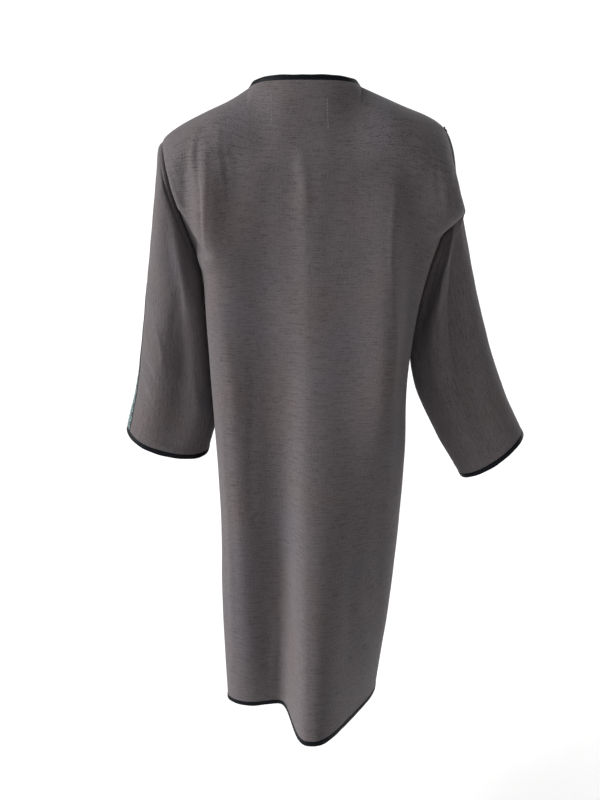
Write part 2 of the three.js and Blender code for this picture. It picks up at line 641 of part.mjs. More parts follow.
// The neck's binding crosses the top of each front's, and looks towards a point over the neck.
const overNeck = new THREE.Vector3(0, 10, 60);
const neckLine = [neckEdge[0], ...neckEdge, neckEdge[neckEdge.length - 1]].map((station) => ({
  ...station,
  point: station.point.clone(),
  out: overNeck.clone().sub(station.point),
}));
neckLine[0].point.x += BINDING.front;
neckLine[neckLine.length - 1].point.x -= BINDING.front;
const neckBinding = bindingGeometry(squared(neckLine, false, BINDING.stand), BINDING.neck, false);
addPiece("neck_binding", neckBinding, MATERIALS.binding);

const bottomEdge = (wall) => edgeOf(wall, wall.grid[lastRow].map((_, j) => [lastRow, j, lastRow - 1, j]));
const hemEdge = [
  ...bottomEdge(walls.front_right),
  ...bottomEdge(walls.back).slice(1, -1),
  ...bottomEdge(walls.front_left).reverse(),
];
const hemLine = squared(lengthened(hemEdge, -SEAM, -SEAM));
addPiece("hem_binding", bindingGeometry(hemLine, BINDING.hem, false), MATERIALS.binding);

for (const side of Object.keys(SIDES)) {
  const front = walls[`front_${side}`];
  const opening = edgeOf(front, front.grid.map((_, i) => [i, 0, i, 1]));
  const full = squared(lengthened(opening, -2 * SEAM, BINDING.hem));
  addPiece(`front_binding_${side}`, bindingGeometry(full, BINDING.front, false), MATERIALS.binding);

  const sleeve = walls[`sleeve_${side}`];
  const end = sleeve.grid.length - 1;
  const cuff = squared(edgeOf(sleeve, sleeve.grid[end].map((_, j) => [end, j, end - 1, j])), true);
  addPiece(`cuff_binding_${side}`, bindingGeometry(cuff, BINDING.cuff, true), MATERIALS.binding);
}

// A point on a sleeve's faceted outer face: down from its first ring in rings, around in points.
function onFacets(rings, down, around) {
  const i = Math.min(Math.floor(down), rings.length - 2);
  const j = Math.floor(around);
  const [u, v] = [around - j, down - i];
  const corner = (row, column) => rings[row][column % rings[0].length].clone();
  const [a, c] = [corner(i, j), corner(i + 1, j + 1)];
  const third = v >= u ? corner(i + 1, j) : corner(i, j + 1);
  const [first, second] = v >= u ? [v, u] : [u, v];
  return a.multiplyScalar(1 - first).addScaledVector(third, first - second).addScaledVector(c, second);
}

// The patterned bands lie on the sleeves' own faces, moved out.
function bandGrid(side, lift) {
  const { edgeTop, edgeCuff, widthTop, widthCuff } = BAND[side];
  const rings = walls[`sleeve_${side}`].grid;
  const first = Math.round(BAND.from * STEPS.sleeve);
  const rows = 2 * (STEPS.sleeve - first);
  const grid = Array.from({ length: rows + 1 }, (_, i) => {
    const down = Math.min(first + i / 2, STEPS.sleeve - 0.03);
    const edge = THREE.MathUtils.lerp(edgeTop, edgeCuff, i / rows);
    const width = THREE.MathUtils.lerp(widthTop, widthCuff, i / rows);
    return Array.from({ length: STEPS.band + 1 }, (_, j) => {
      const turn = (((edge - (width * j) / STEPS.band) % 360) + 360) % 360;
      return onFacets(rings, down, (turn / 360) * rings[0].length);
    });
  });
  return moveAlong(grid, gridNormals(grid, sleeveAxis(side), false), lift);
}
for (const side of Object.keys(SIDES)) {
  const geometry = skinBetween(bandGrid(side, BAND.gap + BAND.thick), bandGrid(side, BAND.gap), false);
  addPiece(`sleeve_band_${side}`, geometry, MATERIALS.band);
}

export default abaya;
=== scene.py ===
# %% [markdown]
# # An open-front abaya, hung as if worn
# The abaya is cut from heathered suiting: one back, two fronts and two dropped sleeves. Black bias
# strips bind the neck, the front edges, the hem and the cuffs, and a patterned band is sewn down
# the front of each cuff. The solids of the garment come first, because every visible piece lies
# in the space of one of them.

import json
import math
from functools import partial

import bpy
import numpy as np
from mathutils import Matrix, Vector

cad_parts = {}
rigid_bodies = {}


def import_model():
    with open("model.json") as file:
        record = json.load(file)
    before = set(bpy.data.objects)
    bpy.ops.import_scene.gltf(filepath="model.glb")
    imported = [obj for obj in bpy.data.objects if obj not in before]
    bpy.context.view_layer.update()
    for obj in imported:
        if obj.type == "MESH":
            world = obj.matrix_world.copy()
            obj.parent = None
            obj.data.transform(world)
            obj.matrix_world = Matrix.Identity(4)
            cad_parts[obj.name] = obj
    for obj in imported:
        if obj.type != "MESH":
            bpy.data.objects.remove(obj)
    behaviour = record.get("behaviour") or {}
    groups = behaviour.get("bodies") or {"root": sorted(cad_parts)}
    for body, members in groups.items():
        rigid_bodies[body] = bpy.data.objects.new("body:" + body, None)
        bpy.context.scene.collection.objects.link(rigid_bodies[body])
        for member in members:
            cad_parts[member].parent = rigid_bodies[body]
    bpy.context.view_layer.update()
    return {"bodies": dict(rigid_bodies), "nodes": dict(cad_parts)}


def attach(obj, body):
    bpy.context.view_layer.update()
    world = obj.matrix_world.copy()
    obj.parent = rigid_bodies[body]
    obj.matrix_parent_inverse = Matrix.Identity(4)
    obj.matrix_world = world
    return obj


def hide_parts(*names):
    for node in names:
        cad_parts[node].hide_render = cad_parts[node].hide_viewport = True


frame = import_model()
BODY = sorted(frame["bodies"])[0]
MM = 0.001
print("solids to dress:", sorted(frame["nodes"]), "on the body", BODY)

# %% [markdown]
# ## The camera
# The garment is seen from behind, a little from above, from about one and three quarter metres
# away. A camera that near widens what is close to it, and that is part of the look, so its place
# and lens are set before any cloth is shaped.

# %% Camera
CAMERA_PLACE = (0.008, 1.740, -0.110)
CAMERA_DOWN = 13.6686  # degrees, solved by a separate program to bring the neck to its height
CAMERA_LENS = 45
camera = bpy.data.objects.new("camera", bpy.data.cameras.new("camera"))
camera.data.lens = CAMERA_LENS
camera.location = CAMERA_PLACE
camera.rotation_euler = (math.radians(90 - CAMERA_DOWN), 0, math.radians(180))
bpy.context.scene.collection.objects.link(camera)
bpy.context.scene.camera = camera
print("camera at", CAMERA_PLACE, "looking down by", CAMERA_DOWN, "degrees")

# %% [markdown]
# ## Curves through short tables
# A pattern cutter writes a garment down as a few measures at named heights. The same is done here:
# each shape is a short table in millimetres, and a smooth curve runs through it. The curve is
# worked out for a whole array of heights at once.


# %% Smooth helpers
def curve_through(keys, values, at):
    """A smooth curve through a table, level past its ends: between two rows the value goes over by
    3t^2 - 2t^3, plus each row's own slope, which is that between its two neighbours."""
    keys, values = np.array(keys, float), np.array(values, float)
    if keys[0] > keys[-1]:
        keys, values = keys[::-1], values[::-1]
    slopes = np.gradient(values, keys)
    slopes[1:-1] = (values[2:] - values[:-2]) / (keys[2:] - keys[:-2])
    at = np.clip(at, keys[0], keys[-1])
    i = np.clip(np.searchsorted(keys, at, side="right") - 1, 0, len(keys) - 2)
    span = keys[i + 1] - keys[i]
    t = (at - keys[i]) / span
    over = t * t * (3 - 2 * t)
    bend = span * t * (1 - t) * (slopes[i] * (1 - t) - slopes[i + 1] * t)
    return values[i] * (1 - over) + values[i + 1] * over + bend


def smoothstep(value, low, high):
    """0 up to low, 1 from high, and 3t^2 - 2t^3 between."""
    t = np.clip((value - low) / (high - low), 0, 1)
    return t * t * (3 - 2 * t)


def mix(a, b, share):
    """The straight mix of a and b: a at share 0, b at share 1."""
    return a + (b - a) * share


# %% [markdown]
# ## The measures of the body
# The sides, the depth of the back and fronts, the shoulder line and the front opening, all in
# millimetres from the neck points. The left and the right differ, as they do on a real wearer.

# %% Body tables
CLOTH = 1.6
HEM = {"left": -1103, "middle": -1100, "right": -1093}
NECK_HALF, NECK_BACK, NECK_FRONT_DROP = 92, 60, 104
ARMHOLE = {"left": 213, "right": 182}
SIGN = {"left": 1, "right": -1}
# Several rows of SIDE are outline points that a separate program turned into millimetres.
SIDE = {  # height, half-width, distance behind the shoulders
    "left": [(-84, 239, 2), (-131, 229, 4), (-196, 211, 6), (-243, 195, 8), (-297, 177, 10),
             (-370, 170, 26), (-470, 164, 34), (-600, 156, 34), (-750, 151, 22),
             (-920, 152, 14), (-1103, 146, 14)],
    "right": [(-62, 233, 2), (-90, 242, 4), (-123, 248, 6), (-165, 258, 10), (-200, 266, 14),
              (-222, 250, 16), (-244, 231, 18), (-350, 199, 22), (-480, 181, 20),
              (-620, 179, 14), (-760, 172, 4), (-920, 159, -6), (-1093, 138, -16)],
}
DEPTH = [  # height, back, front
    (-60, 96, -92), (-200, 108, -112), (-320, 110, -122), (-450, 106, -110),
    (-600, 116, -112), (-760, 104, -116), (-920, 82, -120), (-1100, 60, -122)]
SHOULDER = [  # distance from the middle, height on the left, height on the right
    (92, 2, 4), (125, -19, -11), (165, -37, -28), (205, -57, -44), (230, -74, -60), (246, -92, -82)]
FRONT_GAP = [(0, 9.5), (-100, 9.5), (-200, 9.5), (-450, 11), (-800, 16), (-1097, 24)]
TURN = {"back": (170, 86), "front": (215, 90)}
SHARP, ROUND = 1.2, 2
SQUARE = {"back": 2.7, "front": 2.3}
ARMHOLE_HALF = {"back": 34, "front": -46}
NAPE_HALF, NAPE_DROP = 75, 40


def column(table, index):
    """One column of a table as a list."""
    return [row[index] for row in table]


def side_x(side, z):
    """Half-width of the body at height z."""
    return curve_through(column(SIDE[side], 0), column(SIDE[side], 1), z)


print("shoulders", SIDE["left"][0][1] + SIDE["right"][0][1], "mm across")

# %% [markdown]
# ## The big folds
# Loose cloth hangs from the shoulder blades in a few deep folds. The largest starts under the neck
# and swings out to the hem, and a trough runs down beside it. Each fold is a hill of the form
# exp(-(distance / width)^2) across a slanting line, higher or lower as it runs down. The fronts'
# folds were placed one by one. The back's nine rows were not: a separate least-squares program
# fitted them and they were rounded to whole numbers. Either way they stay where they are written,
# while a simulated cloth would put them somewhere else each time.

# %% Fold tables: top and end height, top and end x, rise at top, middle, end, widths, flank
FOLDS = {
    "back": [
        (-95, -1112, -22, -13, (0, 20, 136), 40, 80, 4),
        (-110, -1112, 73, 48, (-2, -30, -23), 59, 54, 2),
        (-80, -720, -4, -9, (6, 6, 0), 20, 66, 2),
        (-95, -400, 143, 188, (2, 22, 0), 36, 73, 2),
        (-92, -350, 203, 185, (-4, -30, 0), 22, 18, 2),
        (-70, -320, 112, 139, (-1, -11, 0), 27, 32, 2),
        (-200, -1112, 149, 80, (0, 23, 16), 59, 95, 2),
        (-110, -800, -162, -137, (-2, 29, 0), 53, 18, 2),
        (-110, -560, -170, -188, (-5, -18, 0), 24, 46, 2),
    ],
    "front": [
        (-330, -1112, 86, 82, (0, 16, 34), 30, 24, 2),
        (-420, -1112, 44, 46, (0, -7, -14), 18, 16, 2),
        (-110, -350, 166, 150, (-1, -14, 0), 20, 22, 2),
        (-330, -1112, -92, -76, (0, 14, 30), 26, 30, 2),
        (-460, -1112, -50, -42, (0, -6, -12), 15, 17, 2),
        (-110, -400, -176, -160, (-1, -13, 0), 22, 24, 2),
    ],
}
SOFT_END = 0.45  # a fold that starts or ends at nothing dies away over this share of its length
SOFT_START = 45  # and every fold comes in over so many millimetres


def rise_at(rises, t):
    """The parabola through a fold's three rises, faded by a smoothstep at an end that is 0."""
    top, middle, end = rises
    through = top * (1 - t) * (1 - 2 * t) + 4 * middle * t * (1 - t) + end * t * (2 * t - 1)
    start = smoothstep(t, 0, SOFT_END) if top == 0 else 1
    finish = smoothstep(1 - t, 0, SOFT_END) if end == 0 else 1
    return through * start * finish


def fold_rise(face, x, z, reach):
    """The sum of all hills at (x, z), pushed away from the wearer and fading at the side seam."""
    rise = np.zeros_like(z)
    for z_top, z_end, x_top, x_end, rises, to_left, to_right, flank in FOLDS[face]:
        t = (z - z_top) / (z_end - z_top)
        away = x - mix(x_top, x_end, t)
        wide = np.where(away > 0, to_left, to_right)
        power = np.where(away > 0, flank, 2)
        hill = rise_at(rises, np.clip(t, 0, 1)) * np.exp(-((np.abs(away) / wide) ** power))
        hill *= smoothstep(z_top - z, 0, SOFT_START)
        rise += np.where((t > 0) & (t <= 1.001), hill, 0)
    return (1 if face == "back" else -1) * rise * (1 - reach**10)


print(len(FOLDS["back"]), "folds behind,", len(FOLDS["front"]), "in front")

# %% [markdown]
# ## From measures to a surface
# A point of the back or a front is named by its share of the shoulder and its height. Its x comes
# from the side table, and its y from the depth table, rounded in plan like a flattened ellipse.
# Near the shoulder the cloth turns over the body, so y starts at the seam and swings out.


# %% Body surface
def neck_round(x):
    """Height of a half circle over the neck: the root of 1 - (x / half)^2."""
    return np.sqrt(np.maximum(0, 1 - (np.minimum(x, NECK_HALF) / NECK_HALF) ** 2))


def shoulder_z(side, x):
    """The neck line runs level and falls by the fifth power; past it the shoulder table holds."""
    start = SHOULDER[0][1 if side == "left" else 2]
    neck = 11 + (start - 11) * (x / NECK_HALF) ** 5
    slope = curve_through(column(SHOULDER, 0), column(SHOULDER, 1 if side == "left" else 2), x)
    return np.where(x < NECK_HALF, neck, slope)


def turned(face, side, x, z):
    """How far the cloth has turned over the shoulder: a rounded quarter arc of the drop."""
    middle, tip = TURN[face]
    outward = smoothstep(x, NECK_HALF * 0.5, NECK_HALF * 1.7)
    q = np.clip((shoulder_z(side, x) - z) / mix(middle, tip, outward), 0, 1)
    return (1 - (1 - q) ** 2) ** (1 / mix(SHARP, ROUND, outward))


def side_y(face, side, z):
    """Depth of the side edge: the open armhole closes by an elliptic arc into the side seam."""
    k = np.clip((SIDE[side][0][0] - z) / ARMHOLE[side], 0, 1)
    arc = np.maximum(0, 1 - (np.maximum(0, k - 0.45) / 0.55) ** 2) ** 0.7
    seam = curve_through(column(SIDE[side], 0), column(SIDE[side], 2), z)
    return seam + ARMHOLE_HALF[face] * arc


def top_y(face, side, x, z):
    """Where a face leaves the neck line: round at the edge, and below it on the back a soft swell
    exp(-(x / 75)^4)."""
    level = 4 - 2 * np.clip((x - NECK_HALF) / 150, 0, 1)
    if face == "front":
        return level - 40 * neck_round(x)
    below = smoothstep(shoulder_z(side, x) - z, 0, NAPE_DROP)
    swell = np.exp(-((x / NAPE_HALF) ** 4))
    return level + (NECK_BACK - 4) * mix(neck_round(x), swell, below)


def body_points(face, side, share, z):
    """Points of a face. x is the shoulder's width drawn in by share squared, and y is the seam's
    depth plus a superellipse of the middle's depth, turned over the shoulder, plus the folds."""
    tip = SIDE[side][0][1]
    x = tip * share + (side_x(side, z) - tip) * share * share
    reach = np.minimum(1, x / side_x(side, z))
    seam = side_y(face, side, z)
    square = SQUARE[face]
    crown = np.maximum(0, 1 - reach**square) ** (1 / square)
    depth = curve_through(column(DEPTH, 0), column(DEPTH, 1 if face == "back" else 2), z)
    hang = seam + (depth - seam) * crown
    start = top_y(face, side, x, z)
    turn = turned(face, side, x, z)
    y = start + (hang - start) * turn + fold_rise(face, SIGN[side] * x, z, reach) * turn
    return np.stack([SIGN[side] * x, y, z], axis=-1)


# %% Rows and columns of the body
STEPS = {"armhole": 88, "skirt": 138, "neck": 28, "shoulder": 52, "front": 22, "sleeve": 112}


def row_shares(side):
    """Shares of the height: cosine steps down the armhole, even steps down the skirt."""
    part = ARMHOLE[side] / (SIDE[side][0][0] - HEM[side])
    down = part * (1 - np.cos(np.linspace(0, np.pi, STEPS["armhole"] + 1))) / 2
    skirt = np.linspace(part, 1, STEPS["skirt"] + 1)[1:]
    return np.concatenate([down, skirt])


def column_shares(side, steps, inner):
    """Shares of the half-width: from inner to the neck point, then out to the shoulder point,
    closer together towards each end as on a quarter circle."""
    neck = NECK_HALF / SIDE[side][0][1]
    t = np.linspace(0, 1, steps + 1)
    to_neck = mix(inner, neck, (t + np.sin(t * np.pi / 2)) / 2)
    t = np.linspace(0, 1, STEPS["shoulder"] + 1)[1:]
    to_tip = mix(neck, 1, mix(t, np.sin(t * np.pi / 2), 0.6))
    return np.concatenate([to_neck, to_tip])


def back_grid():
    """The back, right to left: the rows' shares go over from the right's to the left's."""
    halves = []
    for side in ("right", "left"):
        share = column_shares(side, STEPS["neck"], 0.0)
        across = (1 + SIGN[side] * share) / 2
        rows = mix(row_shares("right")[:, None], row_shares("left")[:, None], across[None])
        top = shoulder_z(side, share * SIDE[side][0][1])
        hem = mix(HEM["middle"], HEM[side], share)
        z = mix(top[None], hem[None], rows)
        half = body_points("back", side, np.broadcast_to(share, z.shape), z)
        halves.append(half[:, :0:-1] if side == "right" else half)
    return np.concatenate(halves, axis=1)


def front_grid(side):
    """A front, from its open edge to the side: the neck is a round scoop under the shoulder."""
    tip = SIDE[side][0][1]
    gap_at_top = FRONT_GAP[0][1] / tip
    share = column_shares(side, STEPS["front"], gap_at_top)
    x = share * tip
    top = shoulder_z(side, x) - NECK_FRONT_DROP * neck_round(x) ** 1.15
    hem = mix(HEM["middle"], HEM[side], share)
    z = mix(top[None], hem[None], row_shares(side)[:, None])
    edge = curve_through(column(FRONT_GAP, 0), column(FRONT_GAP, 1), z) / tip
    across = (share[None] - gap_at_top) / (1 - gap_at_top)
    return body_points("front", side, edge + (1 - edge) * across, z)


walls = {"back": back_grid(), "front_left": front_grid("left"), "front_right": front_grid("right")}
print("grids", {name: grid.shape[:2] for name, grid in walls.items()})

# %% [markdown]
# ## The sleeves
# A dropped sleeve is a tube sewn to the armhole. Its section starts as the outline of the armhole
# and settles into an oval on the way down, and long soft folds run along it from the underarm.
# Each section is written down by its outer line, its inner line, its middle and its half depth.

# %% Sleeve tables: place along, outer x and z, inner x and z, middle y, half depth
SLEEVE = {
    "left": [(0, 239, -84, 177, -297, 2, 36), (.05, 246, -96, 177, -306, 2, 42),
             (.16, 251, -135, 174.6, -330, 0, 50), (.34, 262, -222, 171, -378, -4, 55),
             (.52, 275, -318, 167, -436, -12, 54), (.7, 288, -420, 162, -502, -18, 54),
             (.85, 302, -508, 158, -562, -22, 55), (1, 322, -584, 174, -625, -24, 56)],
    "right": [(0, 233, -62, 231, -244, 6, 36), (.05, 243, -77, 225, -260, 5, 37),
              (.16, 254, -130, 213, -302, 0, 40), (.34, 278, -234, 199, -364, -8, 44),
              (.52, 303, -342, 187, -432, -14, 47), (.7, 334, -448, 198, -510, -18, 50),
              (.86, 367, -534, 238, -597, -20, 52), (1, 396, -593, 284, -673, -20, 52)],
}
CUFF_DIP = {"left": 17, "right": 6}
SLEEVE_SETTLES = 0.5
SLEEVE_FOLDS = {  # place at top and end, degrees at top and end, rises, width in degrees
    "left": [(.02, .62, 66, 40, (0, 9, 0), 24), (.1, .98, 118, 96, (0, -14, -4), 24),
             (.45, 1, 70, 58, (0, 5, 3), 22), (.15, .95, 250, 226, (0, -8, -2), 28)],
    "right": [(.04, .9, 96, 118, (0, 10, 2), 17), (.05, .98, 64, 84, (0, -12, -3), 20),
              (.04, .7, 132, 150, (0, -13, 0), 20), (.12, .97, 238, 214, (0, -9, -2), 28)],
}


def sleeve_oval(side, at, angle):
    """An ellipse whose ends are the outer and inner lines, with the back of the cuff dipped."""
    get = [curve_through(column(SLEEVE[side], 0), column(SLEEVE[side], k), at) for k in range(1, 7)]
    out_x, out_z, in_x, in_z, y, half = get
    cos, sin = np.cos(angle), np.sin(angle)
    x = SIGN[side] * (out_x + in_x + (out_x - in_x) * cos) / 2
    z = (out_z + in_z + (out_z - in_z) * cos) / 2 - CUFF_DIP[side] * sin * at * at
    return np.stack([x, y + half * sin, z], axis=-1)


def armhole_outline(side, angle):
    """The body's edge at an angle: down the back for the first half turn, up the front after."""
    top, part = SIDE[side][0][0], ARMHOLE[side] / (SIDE[side][0][0] - HEM[side])
    z = mix(top, HEM[side], part * (1 - np.cos(angle)) / 2)
    back, front = (body_points(face, side, np.ones_like(z), z) for face in ("back", "front"))
    return np.where((angle <= np.pi)[..., None], back, front)


def sleeve_points(side, at, angle):
    """The oval, plus what the armhole's outline differs from the first oval, fading by halfway,
    plus the folds' hills along the way out from the sleeve's middle line."""
    oval = sleeve_oval(side, at, angle)
    turn = np.zeros_like(angle)
    middle = (sleeve_oval(side, at, turn) + sleeve_oval(side, at, turn + np.pi)) / 2
    outward = oval - middle
    outward /= np.linalg.norm(outward, axis=-1, keepdims=True)
    start = armhole_outline(side, angle) - sleeve_oval(side, np.zeros_like(at), angle)
    fade = 1 - smoothstep(at, 0, SLEEVE_SETTLES)
    rise = np.zeros_like(angle)
    for first, last, turn_top, turn_end, rises, wide in SLEEVE_FOLDS[side]:
        t = (at - first) / (last - first)
        away = np.degrees(angle) - mix(turn_top, turn_end, t)
        hill = rise_at(rises, np.clip(t, 0, 1)) * np.exp(-((away / wide) ** 2))
        rise += np.where((t > 0) & (t <= 1), hill, 0)
    return oval + start * fade[..., None] + outward * rise[..., None]


# %% Sleeve grids
NEAR_SEAM = 0.03  # the first rows lie closer together, so that the seam can be drawn
down = np.concatenate([np.linspace(0, NEAR_SEAM, 9)[:-1],
                       np.linspace(NEAR_SEAM, 1, STEPS["sleeve"] - 7)])
around = np.linspace(0, 2 * np.pi, 2 * STEPS["armhole"] + 1)[:-1]
SLEEVE_AT, SLEEVE_ANGLE = np.meshgrid(down, around, indexing="ij")
for side in SIGN:
    walls[f"sleeve_{side}"] = sleeve_points(side, SLEEVE_AT, SLEEVE_ANGLE)
print("sleeves", walls["sleeve_left"].shape[:2], "rows and columns")

# %% [markdown]
# ## Small creases
# Between the big folds the cloth is not smooth: it breaks at the underarm, pulls from the shoulder
# point and ripples along a sleeve that was folded for packing. Each crease is a short line with a
# narrow hill or valley across it, placed where weight and seams would put it, uneven in width and
# depth. A long, low unevenness is added everywhere, as cloth never hangs in a perfect curve.

# %% Crease tables on the body: x, z of both ends, depth in millimetres, width
BACK_CREASES = [
    (163, -78, 162, -290, 2.4, 4.5), (171, -72, 171, -284, -3.6, 4), (181, -58, 180, -160, 1.6, 5),
    (137, -58, 133, -190, 1.4, 5), (122, -78, 120, -176, 0.9, 5), (208, -188, 164, -217, 3.2, 5),
    (218, -198, 160, -281, -11, 11), (202, -92, 196, -190, 1.4, 6), (222, -96, 214, -176, -1.8, 5),
    (188, -86, 182, -180, -1.4, 6), (236, -110, 210, -190, 1.6, 6), (4, -82, 8, -226, 2.4, 9),
    (60, -30, 96, -190, -0.8, 14), (-60, -30, -98, -200, -0.8, 14), (30, -60, 40, -300, 0.7, 12),
    (-40, -80, -52, -330, -0.7, 14), (-140, -140, -147, -345, 2.2, 5),
    (-147, -325, -148, -520, 1.8, 5), (-160, -120, -167, -345, -3.2, 10),
    (-222, -84, -214, -190, -1.6, 6), (-240, -120, -228, -214, 1.4, 6),
    (-196, -60, -200, -180, -1.2, 8), (-262, -206, -206, -262, -2.2, 7),
    (-128, -360, -120, -660, 0.9, 14), (140, -330, 120, -600, 1.1, 10),
    (96, -420, 82, -760, -1.1, 9), (36, -700, 22, -1060, -1.4, 11),
    (-74, -620, -92, -1040, -1.5, 12),
    (-104, -700, -112, -1050, 1.3, 12), (-136, -620, -130, -1000, -1.2, 9),
    (60, -880, 48, -1090, 1.4, 9), (140, -420, 134, -1080, 1.6, 6),
]
FRONT_CREASES = [
    (200, -110, 176, -240, -2.0, 7), (224, -120, 196, -250, 1.6, 6), (120, -70, 96, -300, -1.3, 14),
    (110, -420, 120, -900, -1.4, 12), (62, -500, 64, -1040, 1.2, 9), (140, -420, 134, -760, 1.2, 9),
    (-206, -100, -190, -230, -2.0, 7), (-236, -130, -214, -230, 1.6, 6),
    (-118, -70, -90, -320, -1.3, 14), (-120, -430, -124, -900, -1.4, 12),
    (-66, -520, -64, -1040, 1.1, 9), (-146, -420, -150, -760, 1.2, 9),
]
# On the sleeves: place and degrees of both ends, depth, width in millimetres
SLEEVE_CREASES = {
    "left": [(.02, 104, .64, 98, 8.5, 26), (.02, 30, .30, 20, -1.2, 7), (.03, 58, .26, 44, 1.2, 7),
             (.045, 34, .085, 122, -3.2, 9), (.34, 96, .70, 84, -1.2, 9),
             (.50, 128, .92, 120, 1.2, 9), (.755, 26, .775, 66, -2.6, 4.5),
             (.79, 24, .81, 60, 1.4, 5), (.843, 28, .838, 60, -2.0, 4), (.60, 58, .74, 72, 1.6, 6),
             (.05, 160, .5, 166, -1.6, 8), (.1, 290, .7, 282, -1.6, 9), (.2, 210, .9, 204, 1.5, 9),
             (.3, 328, .9, 320, 1.2, 9)],
    "right": [(.02, 34, .40, 24, -1.2, 8), (.07, 118, .44, 101, 2.6, 4),
              (.40, 101, .68, 105, 2.0, 4), (.26, 80, .74, 84, -4.5, 6),
              (.05, 150, .5, 138, -3.0, 6), (.69, 114, .78, 76, -1.6, 5),
              (.45, 50, .97, 44, -1.2, 10), (.55, 120, .97, 128, -1.3, 9),
              (.1, 300, .7, 288, -1.6, 9), (.2, 214, .9, 206, 1.4, 9), (.3, 330, .9, 322, 1.2, 9)],
}


CREASE_SWAY = 0.7  # how far a crease wanders to each side, in widths


def crease_depth(u, v, lines):
    """For each line, depth * exp(-(distance across / width)^2) * (1 - (2t - 1)^2), where t is the
    share along the line."""
    total = np.zeros_like(u)
    for u0, v0, u1, v1, depth, width in lines:
        du, dv = (u1 - u0), (v1 - v0)
        length = math.hypot(du, dv)
        t = ((u - u0) * du + (v - v0) * dv) / length**2
        across = ((u - u0) * dv - (v - v0) * du) / length
        sway = CREASE_SWAY * width * np.sin(t * 5.1 + u0 * 0.37)
        ends = np.clip(1 - (2 * t - 1) ** 2, 0, 1)
        total += depth * np.exp(-(((across + sway) / width) ** 2)) * ends
    return total


def uneven(u, v, size, seed):
    """A sum of five slow waves in turned directions, between about -1 and 1."""
    rng = np.random.default_rng(seed)
    total = np.zeros_like(u)
    for k in range(5):
        way, phase = rng.uniform(0, np.pi), rng.uniform(0, 2 * np.pi)
        total += np.sin((u * np.cos(way) + v * np.sin(way)) * (1 + 0.4 * k) / size + phase) / 5
    return total


print(len(BACK_CREASES) + len(FRONT_CREASES), "creases on the body")

# %% [markdown]
# ## Where two pieces meet
# At a sewn seam both pieces dip slightly into the stitch line. The grids meet there point by
# point, so they can share one normal, and both dip along it. The shared normals also let the inner
# faces of the cloth meet in a mitre.


# %% Normals
def grid_normals(grid, closed):
    """The cross product of the steps down and across each point, of length one."""
    if closed:
        across = np.roll(grid, -1, axis=1) - np.roll(grid, 1, axis=1)
    else:
        across = np.gradient(grid, axis=1)
    normal = np.cross(np.gradient(grid, axis=0), across)
    return normal / np.maximum(np.linalg.norm(normal, axis=-1, keepdims=True), 1e-9)


def pointing_out(name, grid, normal):
    """Turns a whole grid's normals if most of them look at the inside."""
    if name.startswith("sleeve"):
        inside = grid.mean(axis=1, keepdims=True)
    else:
        inside = np.zeros_like(grid)
        inside[..., 0] = grid[..., 0] * 0.55
        inside[..., 2] = grid[..., 2]
    outwards = np.sum(normal * (grid - inside)) > 0
    return normal if outwards else -normal


def share_normals(grids):
    """Points of different pieces that coincide get the sum of their normals."""
    raw = {name: pointing_out(name, grid, grid_normals(grid, name.startswith("sleeve")))
           for name, grid in grids.items()}
    points = np.concatenate([grid.reshape(-1, 3) for grid in grids.values()])
    flat = np.concatenate([normal.reshape(-1, 3) for normal in raw.values()])
    keys = np.round(points * 20).astype(np.int64)
    _, where = np.unique(keys, axis=0, return_inverse=True)
    where = where.reshape(-1)
    sums = np.zeros((where.max() + 1, 3))
    np.add.at(sums, where, flat)
    shared = sums[where]
    shared /= np.maximum(np.linalg.norm(shared, axis=-1, keepdims=True), 1e-9)
    out, start = {}, 0
    for name, grid in grids.items():
        size = grid.shape[0] * grid.shape[1]
        out[name] = shared[start:start + size].reshape(grid.shape)
        start += size
    return out


def run_lengths(grid, axis):
    """Distance along the cloth from the first row or column."""
    steps = np.linalg.norm(np.diff(grid, axis=axis), axis=-1)
    shape = list(steps.shape)
    shape[axis] = 1
    return np.concatenate([np.zeros(shape), np.cumsum(steps, axis=axis)], axis=axis)


